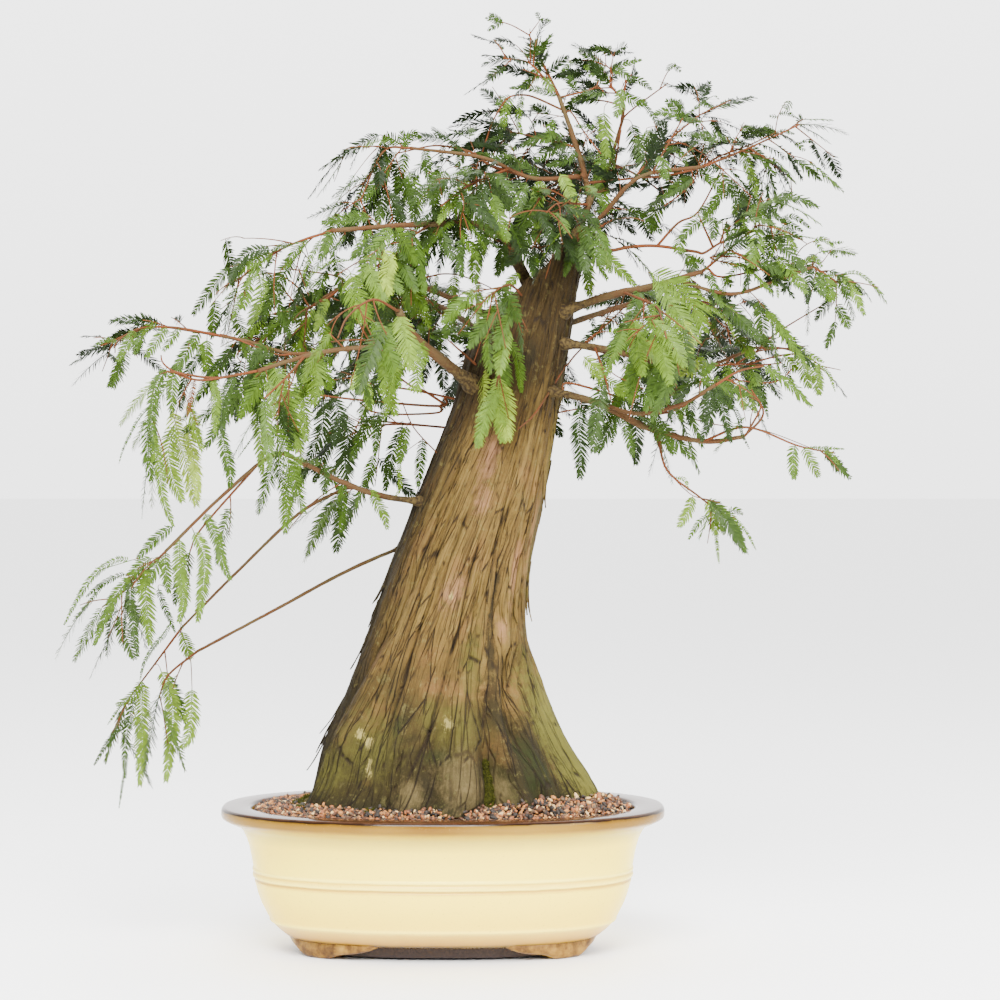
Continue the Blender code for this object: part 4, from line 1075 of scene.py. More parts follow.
# The foliage grows in masses. In each, thin red brown twigs branch to either side of one stem and
# droop, and flat sprays of soft needles stand on them in two ranks.
# name, what bears it, where, route of the stem, bare share of the stem,
# (reach round the stem, drop of its space below it), (sprays, shortest, longest), how far they hang
MASSES = (
    ("foliage_left_weeping", "bough_left_long", 1,
     ((-255, -175, 640), (-298, -170, 648), (-312, -168, 600)), 0.15, (50, 125), (6, 48, 92), 0.95),
    ("foliage_left_hanging", "bough_left_long", 0.75,
     ((-160, -190, 645), (-185, -200, 620)), 0.1, (62, 85), (6, 48, 88), 0.9),
    ("foliage_left_tip", "bough_left_far", 1,
     ((-320, -85, 700), (-375, -80, 680)), 0.05, (40, 16), (32, 32, 58), 0.25),
    ("foliage_left_arch", "bough_left_arch", 1,
     ((-175, -95, 785), (-225, -90, 750)), 0.05, (58, 50), (19, 40, 74), 0.6),
    ("foliage_left_mid", "bough_left_mid", 1,
     ((-175, 60, 715), (-220, 50, 685)), 0.05, (62, 40), (18, 44, 76), 0.6),
    ("foliage_left_front", "bough_left_front", 1,
     ((-70, -190, 725), (-95, -220, 706), (-104, -256, 682)), 0.1, (72, 55), (6, 40, 70), 0.6),
    ("foliage_left_under", "trunk", 610,
     ((-45, 10, 635), (-105, 20, 635)), 0.4, (60, 25), (5, 40, 70), 0.6),
    ("foliage_left_lower", "trunk", 585,
     ((-65, 80, 595), (-130, 100, 575)), 0.4, (75, 60), (9, 48, 78), 0.8),
    ("foliage_low_left", "bough_left_sweep", 1,
     ((-335, -120, 420), (-368, -120, 395)), 0.05, (56, 30), (9, 48, 84), 0.65),
    ("foliage_low_hanging", "bough_left_sweep", 0.45,
     ((-262, -100, 480), (-275, -100, 455)), 0.2, (40, 55), (3, 48, 76), 0.9),
    ("foliage_lowest_outer", "bough_left_second", 1,
     ((-325, 0, 325), (-355, 0, 285)), 0.2, (42, 85), (3, 48, 80), 0.95),
    ("foliage_lowest_inner", "bough_left_lowest", 1,
     ((-305, -45, 315), (-315, -55, 290)), 0.2, (40, 75), (3, 52, 92), 0.95),
    ("foliage_crown_left", "bough_top_left", 1,
     ((-65, -60, 895), (-90, -65, 840)), 0.05, (60, 55), (42, 34, 64), 0.55),
    ("foliage_crown_left_low", "bough_top_left", 0.5,
     ((30, -90, 855), (0, -120, 830)), 0.2, (65, 35), (34, 34, 62), 0.5),
    ("foliage_arch_inner", "bough_left_arch", 0.62,
     ((-40, -120, 790), (-55, -140, 765)), 0.2, (58, 40), (23, 44, 74), 0.7),
    ("foliage_crown_inner", "leader", 0.66,
     ((110, 30, 920), (70, 40, 930)), 0.1, (65, 35), (38, 30, 56), 0.4),
    ("foliage_crown_top", "leader", 1,
     ((112, -10, 985), (95, -15, 1000), (68, -20, 1004)), 0.05, (46, 15), (24, 21, 42), 0.2),
    ("foliage_crown_top_right", "bough_top_back", 1,
     ((205, 50, 965), (188, 45, 982)), 0.05, (62, 30), (44, 22, 46), 0.25),
    ("foliage_crown_right", "bough_top_right", 0.5,
     ((250, 0, 910), (290, 20, 945)), 0.2, (60, 30), (68, 34, 62), 0.35),
    ("foliage_crown_right_tip", "bough_top_right", 1,
     ((340, -55, 900), (395, -60, 925)), 0.05, (52, 40), (44, 28, 52), 0.45),
    ("foliage_crown_centre", "leader", 0.3,
     ((130, -60, 838), (115, -100, 825)), 0.2, (65, 40), (30, 34, 64), 0.55),
    ("foliage_right_upper", "bough_right_upper", 1,
     ((315, -130, 785), (345, -140, 810)), 0.05, (62, 35), (35, 34, 62), 0.45),
    ("foliage_right_far", "bough_right_far", 1,
     ((422, -105, 755), (438, -100, 745)), 0.05, (44, 25), (10, 26, 42), 0.55),
    ("foliage_right_front", "bough_right_upper", 0.45,
     ((230, -160, 720), (235, -200, 704), (238, -240, 682)), 0.2, (68, 45), (12, 46, 74), 0.65),
    ("foliage_right_mid", "bough_right_reach", 1,
     ((320, -170, 650), (345, -175, 655)), 0.05, (52, 35), (2, 38, 69), 0.6),
    ("foliage_right_outer", "bough_right_outer", 1,
     ((390, -10, 678), (430, 0, 655)), 0.05, (44, 20), (4, 30, 46), 0.5),
    ("foliage_right_low", "bough_right_mid", 0.5,
     ((178, -95, 650), (185, -115, 620)), 0.3, (48, 55), (1, 48, 82), 0.95),
    ("foliage_right_low_tip", "bough_right_low", 1,
     ((352, -100, 605), (340, -90, 632)), 0.1, (44, 25), (1, 35, 59), 0.6),
    ("foliage_right_outlier", "bough_right_low", 0.75,
     ((330, -140, 590), (385, -150, 570), (425, -150, 562)), 0.78, (32, 15), (2, 34, 46), 0.6),
    ("foliage_right_hanging", "bough_right_low", 0.55,
     ((245, -120, 545), (280, -130, 515), (312, -130, 492)), 0.68, (36, 32), (5, 27, 43), 0.85),
    ("foliage_front_trunk", "trunk", 665,
     ((68, -90, 665), (60, -100, 635)), 0.75, (30, 45), (2, 59, 82), 1.0),
    ("foliage_front_top", "trunk", 730,
     ((75, -110, 745), (50, -150, 730)), 0.5, (58, 35), (13, 38, 67), 0.65),
    ("foliage_back_left", "bough_back_left", 1,
     ((-75, 205, 745), (-120, 225, 730)), 0.05, (88, 50), (36, 52, 95), 0.5),
    ("foliage_back_right", "bough_back_right", 1,
     ((295, 200, 745), (340, 215, 730)), 0.05, (88, 50), (38, 52, 95), 0.5),
    ("foliage_back_middle", "trunk", 650,
     ((85, 140, 685), (80, 210, 700)), 0.4, (85, 45), (54, 52, 92), 0.5),
    ("foliage_back_high", "leader", 0.4,
     ((145, 100, 880), (135, 165, 875)), 0.1, (85, 35), (62, 44, 80), 0.4),
)
STEM_RADII = (1.6, 0.9)
TWIG_RADII = (0.95, 0.5)
SPRIG_RADII = (0.65, 0.4)
TWIG_SIDES = 5
TWIG_STEPS = 6
TWIG_ANGLE = math.radians(52)
TWIG_TRIES = 28
SPRIG_TRIES = 8
TWIGS_APART = 24
SPRAYS_APART = 13
SPRAY_ANGLE = math.radians(50)
SPRAY_TRIES = 12
OWN_REACH = 1.16
PROUD = 14
BEHIND_STEM = -8
DOWN = Vector((0, 0, -1))


class Spaces:
    """Which mass each place in the crown belongs to: the one whose stem, or the space that hangs
    below it, is nearest for that mass's reach."""

    def __init__(self):
        points, reaches, self.owners = [], [], []
        for name, _, _, _, bare, (reach, drop), _, _ in MASSES:
            for share in np.linspace(bare, 1.0, 5):
                place, _ = along(routes[name], share)
                for fall in (0.0, 0.5, 1.0):
                    points.append(place + DOWN * drop * fall * MM)
                    reaches.append(reach * MM)
                    self.owners.append(name)
        self.points = np.array(points)
        self.reaches = np.array(reaches)
        self.owners = np.array(self.owners)
        self.boxes = {row[0]: [np.array(corner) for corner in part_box(row[0])] for row in MASSES}

    def hold(self, name, places):
        """Whether the places are in the mass's own space and within its solid's reach."""
        low, high = self.boxes[name]
        for place in places:
            shares = np.linalg.norm(self.points - np.array(place), axis=1) / self.reaches
            own = shares[self.owners == name].min()
            if own > OWN_REACH or shares.min() < own * 0.78:
                return False
            if (np.array(place) < low - PROUD * MM).any() or (np.array(place) > high + PROUD * MM).any():
                return False
        return True


class Taken:
    """Places that are taken, so that twigs and sprays spread out evenly."""

    def __init__(self):
        self.places = np.full((5000, 3), 99.0)
        self.count = 0

    def near(self, place, apart):
        away = np.abs(self.places[:self.count + 1] - np.array(place)).max(axis=1)
        return away.min() < apart * MM

    def take(self, place):
        self.places[self.count] = place
        self.count += 1


class Spray:
    """A spray's route, the way it faces, how far it hangs, and its breadth and tone where it has its own."""

    def __init__(self, route, facing, hang, breadth=None, tone=None):
        self.route = route
        self.facing = facing
        self.hang = hang
        self.breadth = breadth
        self.tone = tone


class Twig:
    """A twig's route, what bears it, and where its first spray may stand."""

    def __init__(self, route, radii, bearer=None, first=0.15):
        self.route = route
        self.radii = radii
        self.bearer = bearer
        self.first = first
        self.leafy = False

    def grow_leafy(self):
        """Marks the twig, and those that bear it, as ones that carry a spray."""
        self.leafy = True
        if self.bearer:
            self.bearer.grow_leafy()


for name, bearer, share, places, *_ in MASSES:
    routes[name] = route_from(bearer, share, places)
spaces = Spaces()
heart = POT_CENTRE + Vector((trunk_ring(700)[0], 0, 0)) * MM
all_twigs = []
sprays = []
twig_tips, spray_middles = Taken(), Taken()


def wild(amount, rng):
    return Vector([rng.uniform(-amount, amount) for _ in range(3)])


def twig_from(bearer, first, sizes, hang, rng, radii):
    """A twig that leaves its bearer at the rule's angle, turned anyhow round it, and droops."""
    start, ahead = along(bearer.route, rng.uniform(first, 1.0))
    turn = rng.uniform(0, 2 * math.pi)
    side = ahead.orthogonal().normalized()
    side = side * math.cos(turn) + ahead.cross(side) * math.sin(turn)
    heading = ahead * math.cos(TWIG_ANGLE) + side * math.sin(TWIG_ANGLE) + DOWN * (0.6 * hang - 0.25)
    heading = (heading + wild(0.2, rng)).normalized()
    size = rng.uniform(*sizes) * (1 + 0.5 * hang * max(0.0, -heading.z)) * MM
    droop = size * (0.05 + 0.3 * hang)
    sway = wild(0.18, rng)
    steps = np.linspace(0, 1, TWIG_STEPS)
    route = [start + (heading + sway * t) * size * t + DOWN * droop * t * t for t in steps]
    return Twig(route, radii, bearer)


def grow_twigs(row, rng):
    """The mass's stem with twigs round it and sprigs on those."""
    name, _, _, _, bare, (reach, drop), _, hang = row
    stem = Twig(routes[name], STEM_RADII, first=max(bare, 0.25))
    grown = [stem]
    for _ in range(TWIG_TRIES):
        twig = twig_from(stem, bare, (reach * 0.5, reach * 1.0), hang, rng, TWIG_RADII)
        if twig_tips.near(twig.route[-1], TWIGS_APART) or any(in_trunk(place) for place in twig.route[2:]):
            continue
        if spaces.hold(name, twig.route[3:]):
            twig_tips.take(twig.route[-1])
            grown.append(twig)
    for twig in grown[1:]:
        for _ in range(SPRIG_TRIES):
            sprig = twig_from(twig, 0.2, (reach * 0.25, reach * 0.5), hang, rng, SPRIG_RADII)
            if twig_tips.near(sprig.route[-1], TWIGS_APART * 0.8) or in_trunk(sprig.route[-1]):
                continue
            if spaces.hold(name, sprig.route[3:]):
                twig_tips.take(sprig.route[-1])
                grown.append(sprig)
    return grown


def spray_from(twig, share, side, sizes, hang, rng):
    """A spray that leaves a twig to one side, or carries on from its tip."""
    start, ahead = along(twig.route, share)
    across = ahead.cross(DOWN)
    across = across.normalized() if across.length > 0.2 else ahead.orthogonal().normalized()
    heading = ahead * math.cos(SPRAY_ANGLE) + across * side * math.sin(SPRAY_ANGLE) if side else ahead.copy()
    heading = (heading + DOWN * (1.25 * hang - 0.35) + wild(0.30, rng)).normalized()
    size = rng.uniform(*sizes) * MM
    level = (heading * Vector((1, 1, 0))).length
    droop = size * level * rng.uniform(0.12, 0.42) * (0.4 + hang)
    sway = wild(0.12, rng)
    steps = np.linspace(0, 1, 6)
    route = [start + (heading + sway * t) * size * t + DOWN * droop * t * t for t in steps]
    outward = ((start - heart) * Vector((0.5, 1.5, 0))).normalized()
    facing = outward * hang + Vector((0, 0, 1)) * (1 - 0.65 * hang) + wild(0.6, rng)
    return Spray(route, facing, hang)


def keep_spray(spray, twig, name=None):
    """Keeps the spray if it has room of its own, out of the trunk and in its mass's space."""
    middle, tip = spray.route[3], spray.route[-1]
    if spray_middles.near(middle, SPRAYS_APART) or in_trunk(tip) or in_trunk(middle):
        return False
    if name and not spaces.hold(name, [middle, tip]):
        return False
    if name and middle.y < routes[name][-1].y + BEHIND_STEM * MM:
        return False
    spray_middles.take(middle)
    sprays.append(spray)
    twig.grow_leafy()
    return True


def grow_sprays(row, grown, rng):
    """Sprays on the twigs: one at each tip, and more along them that hang as the mass does."""
    name, _, _, _, _, _, (wanted, shortest, longest), hang = row
    tips = [(twig, 1.0, 0) for twig in grown]
    others = [(twig, rng.uniform(twig.first, 0.97), side) for twig in grown for side in (-1, 1) * SPRAY_TRIES]
    rng.shuffle(others)
    mixed = tips[:wanted // 2] + others
    kept = 0
    for twig, share, side in mixed:
        if kept >= wanted:
            break
        spray = spray_from(twig, share, side, (shortest, longest), hang, rng)
        kept += keep_spray(spray, twig, name)


for row in MASSES:
    seed = random.Random(row[0])
    grown = grow_twigs(row, seed)
    grow_sprays(row, grown, seed)
    all_twigs += grown

# The shoots that face the front hang one by one, from the long weeping ones at the left to the
# short upright ones at the top. They are given as they show in a front view that is 1000 steps
# across and down, and each starts on the nearest wood, or spray, behind its root.
CAMERA_AWAY = 3.2
CAMERA_HEIGHT = 0.565
CAMERA_ACROSS = 0.0643
CAMERA_PITCH = math.radians(1.0)
CAMERA_LENS = 102.06
SENSOR = 36.0
VIEW_STEPS = 1000
# (radius at the root and at the tip, how far the twig comes forward in millimetres, its points)
FRONT_TWIGS = (
    (1.5, 0.7, -4, ((225, 336), (179, 328), (152, 327), (135, 330), (117, 342), (115, 353))),
    (1.6, 0.8, -6, ((240, 375), (213, 378), (179, 373), (167, 367), (162, 361), (161, 355))),
    (0.8, 0.5, -4, ((180, 630), (190, 657), (192, 688))),
    (1.3, 0.7, -4, ((359, 230), (339, 230), (307, 238), (273, 253))),
    (1.5, 0.9, 0, ((336, 276), (289, 269))),
    (1.4, 0.7, -4, ((383, 260), (369, 258), (358, 262), (337, 275))),
    (1.3, 0.6, -2, ((306, 302), (298, 288), (287, 279), (274, 274), (262, 274), (249, 279), (237, 287))),
    (1.2, 0.7, -4, ((300, 310), (280, 285), (270, 276))),
    (2, 1.2, -6, ((314, 307), (328, 298), (344, 285))),
    (1.3, 0.8, 0, ((372, 341), (350, 340), (331, 342))),
    (1.3, 0.8, -2, ((344, 346), (329, 333))),
    (1.2, 0.7, 0, ((294, 355), (275, 354), (234, 338), (220, 334))),
    (1.3, 0.7, -4, ((270, 331), (245, 347), (237, 355), (241, 362))),
    (1.2, 0.8, -2, ((369, 341), (356, 318))),
    (1.7, 1.2, 0, ((440, 406), (361, 400), (318, 395))),
    (1.4, 1, 0, ((440, 412), (418, 414), (391, 414), (371, 411), (360, 402))),
    (1.4, 0.9, 0, ((440, 423), (377, 421), (357, 419))),
    (2, 0.9, 0, ((520, 174), (491, 166), (479, 156), (467, 151), (451, 147), (431, 146), (399, 153))),
    (0.9, 0.6, -4, ((477, 166), (477, 200), (479, 206), (484, 210))),
    (2, 1, -8, ((520, 244), (469, 224), (454, 220), (437, 220), (352, 230))),
    (1.8, 0.9, -10, ((520, 255), (486, 234), (469, 226), (411, 225), (395, 231))),
    (1.2, 0.7, -8, ((410, 284), (428, 277), (442, 274), (458, 275), (476, 281), (491, 288))),
    (2, 1, 0, ((559, 95), (529, 35))),
    (0.9, 0.6, -2, ((529, 35), (511, 25), (490, 19))),
    (0.8, 0.5, -2, ((532, 34), (540, 20))),
    (1.4, 0.8, -4, ((564, 111), (536, 98), (522, 95), (508, 98), (498, 112), (491, 126), (481, 157))),
    (1.3, 0.8, -2, ((561, 98), (592, 89), (599, 81))),
    (0.9, 0.6, 2, ((613, 87), (612, 72), (606, 66), (592, 61), (578, 60), (557, 62))),
    (0.7, 0.4, 0, ((607, 64), (605, 52))),
    (1.7, 0.9, 0, ((616, 160), (626, 80))),
    (1.2, 0.8, -2, ((620, 106), (604, 101), (585, 100))),
    (1.4, 0.8, 0, ((620, 122), (629, 112), (668, 83))),
    (0.8, 0.5, -2, ((660, 88), (667, 73), (676, 64))),
    (1.5, 0.9, -2, ((655, 168), (683, 118))),
    (1.2, 0.8, -6, ((571, 112), (584, 132), (601, 154))),
    (1.8, 1.2, 0, ((590, 183), (637, 178))),
    (1.5, 1, 0, ((613, 172), (621, 130))),
    (1.6, 1.1, -2, ((617, 166), (639, 176), (664, 194))),
    (1.1, 0.7, -14, ((580, 242), (557, 244), (537, 248))),
    (1, 0.6, -6, ((537, 247), (525, 216), (486, 184), (468, 177))),
    (1.2, 0.7, -14, ((580, 242), (610, 221), (632, 218), (644, 221))),
    (1.5, 0.8, 0, ((640, 178), (664, 176), (698, 168), (720, 156), (747, 146), (775, 133))),
    (0.7, 0.4, -2, ((775, 132), (778, 117), (785, 103), (790, 101))),
    (0.7, 0.4, -2, ((776, 132), (786, 136), (798, 144))),
    (2.3, 1.8, -4, ((606, 250), (630, 247), (657, 246), (697, 252))),
    (1.8, 1.2, -2, ((697, 252), (704, 253), (720, 243), (739, 236))),
    (1.4, 0.9, 0, ((720, 243), (727, 221))),
    (1.6, 1, 0, ((711, 248), (698, 214))),
    (1.2, 0.7, -2, ((711, 257), (736, 257), (747, 261))),
    (1.7, 0.9, -4, ((657, 246), (678, 223), (698, 212), (720, 172))),
    (0.9, 0.6, -2, ((694, 181), (704, 144))),
    (0.8, 0.5, -2, ((703, 164), (715, 146))),
    (1.3, 0.8, 0, ((694, 181), (678, 196), (664, 206))),
    (1.6, 1, -2, ((700, 275), (708, 269), (722, 277), (769, 268))),
    (1.4, 0.8, -16, ((567, 365), (580, 350), (631, 301))),
    (0.9, 0.6, -12, ((597, 333), (618, 301))),
    (0.8, 0.5, -16, ((580, 345), (597, 333), (616, 332))),
    (2.8, 1, -4, ((572, 341), (609, 353), (634, 356), (648, 361))),
    (1, 0.7, -8, ((606, 355), (620, 337))),
    (0.9, 0.6, -8, ((590, 362), (609, 371), (620, 378), (644, 389))),
    (1.6, 1.2, 0, ((566, 383), (597, 390), (645, 406), (663, 410))),
    (1.2, 0.8, -2, ((562, 412), (644, 395), (667, 386))),
    (1, 0.7, -6, ((654, 408), (675, 392), (698, 382), (733, 380), (761, 383), (780, 380), (792, 369))),
    (1.2, 0.8, -2, ((692, 367), (736, 364), (759, 365), (782, 363))),
    (1.2, 0.8, -4, ((735, 363), (756, 352), (775, 349), (795, 348))),
    (1.2, 0.7, -2, ((745, 364), (783, 355), (803, 355), (817, 363))),
    (1.3, 0.7, -2, ((755, 351), (775, 334), (834, 298))),
    (0.6, 0.4, -4, ((697, 357), (702, 345), (711, 338), (755, 338))),
    (0.7, 0.4, -6, ((720, 339), (730, 324))),
    (1.7, 1.1, 0, ((612, 406), (623, 412), (653, 414), (672, 411), (697, 398), (716, 383))),
    (1.3, 0.9, 0, ((747, 433), (761, 406), (749, 396))),
    (0.9, 0.5, -6, ((663, 402), (682, 414), (704, 422), (726, 426), (748, 427), (775, 434), (818, 451))),
    (0.7, 0.5, -4, ((655, 424), (664, 464), (689, 493), (707, 500), (729, 512))),
    (1.7, 1, -6, ((483, 367), (448, 340))),
    (0.9, 0.6, -4, ((468, 335), (454, 322), (440, 313), (427, 298), (410, 289))),
    (0.9, 0.6, -2, ((468, 335), (451, 332), (445, 337))),
    (0.9, 0.6, -2, ((451, 332), (456, 318), (462, 308))),
    (1.7, 1, 0, ((449, 407), (424, 391), (411, 386), (398, 376), (387, 364))),
    (1, 0.7, 0, ((436, 452), (414, 428), (402, 402))),
    (1.2, 0.9, -2, ((566, 366), (536, 412), (518, 429))),
    (0.9, 0.6, -4, ((344, 482), (324, 494), (308, 507), (289, 529))),
    (0.8, 0.5, -3, ((813, 262), (821, 263), (832, 249))),
    (0.8, 0.5, -3, ((793, 264), (801, 249), (814, 241), (830, 239))),
)
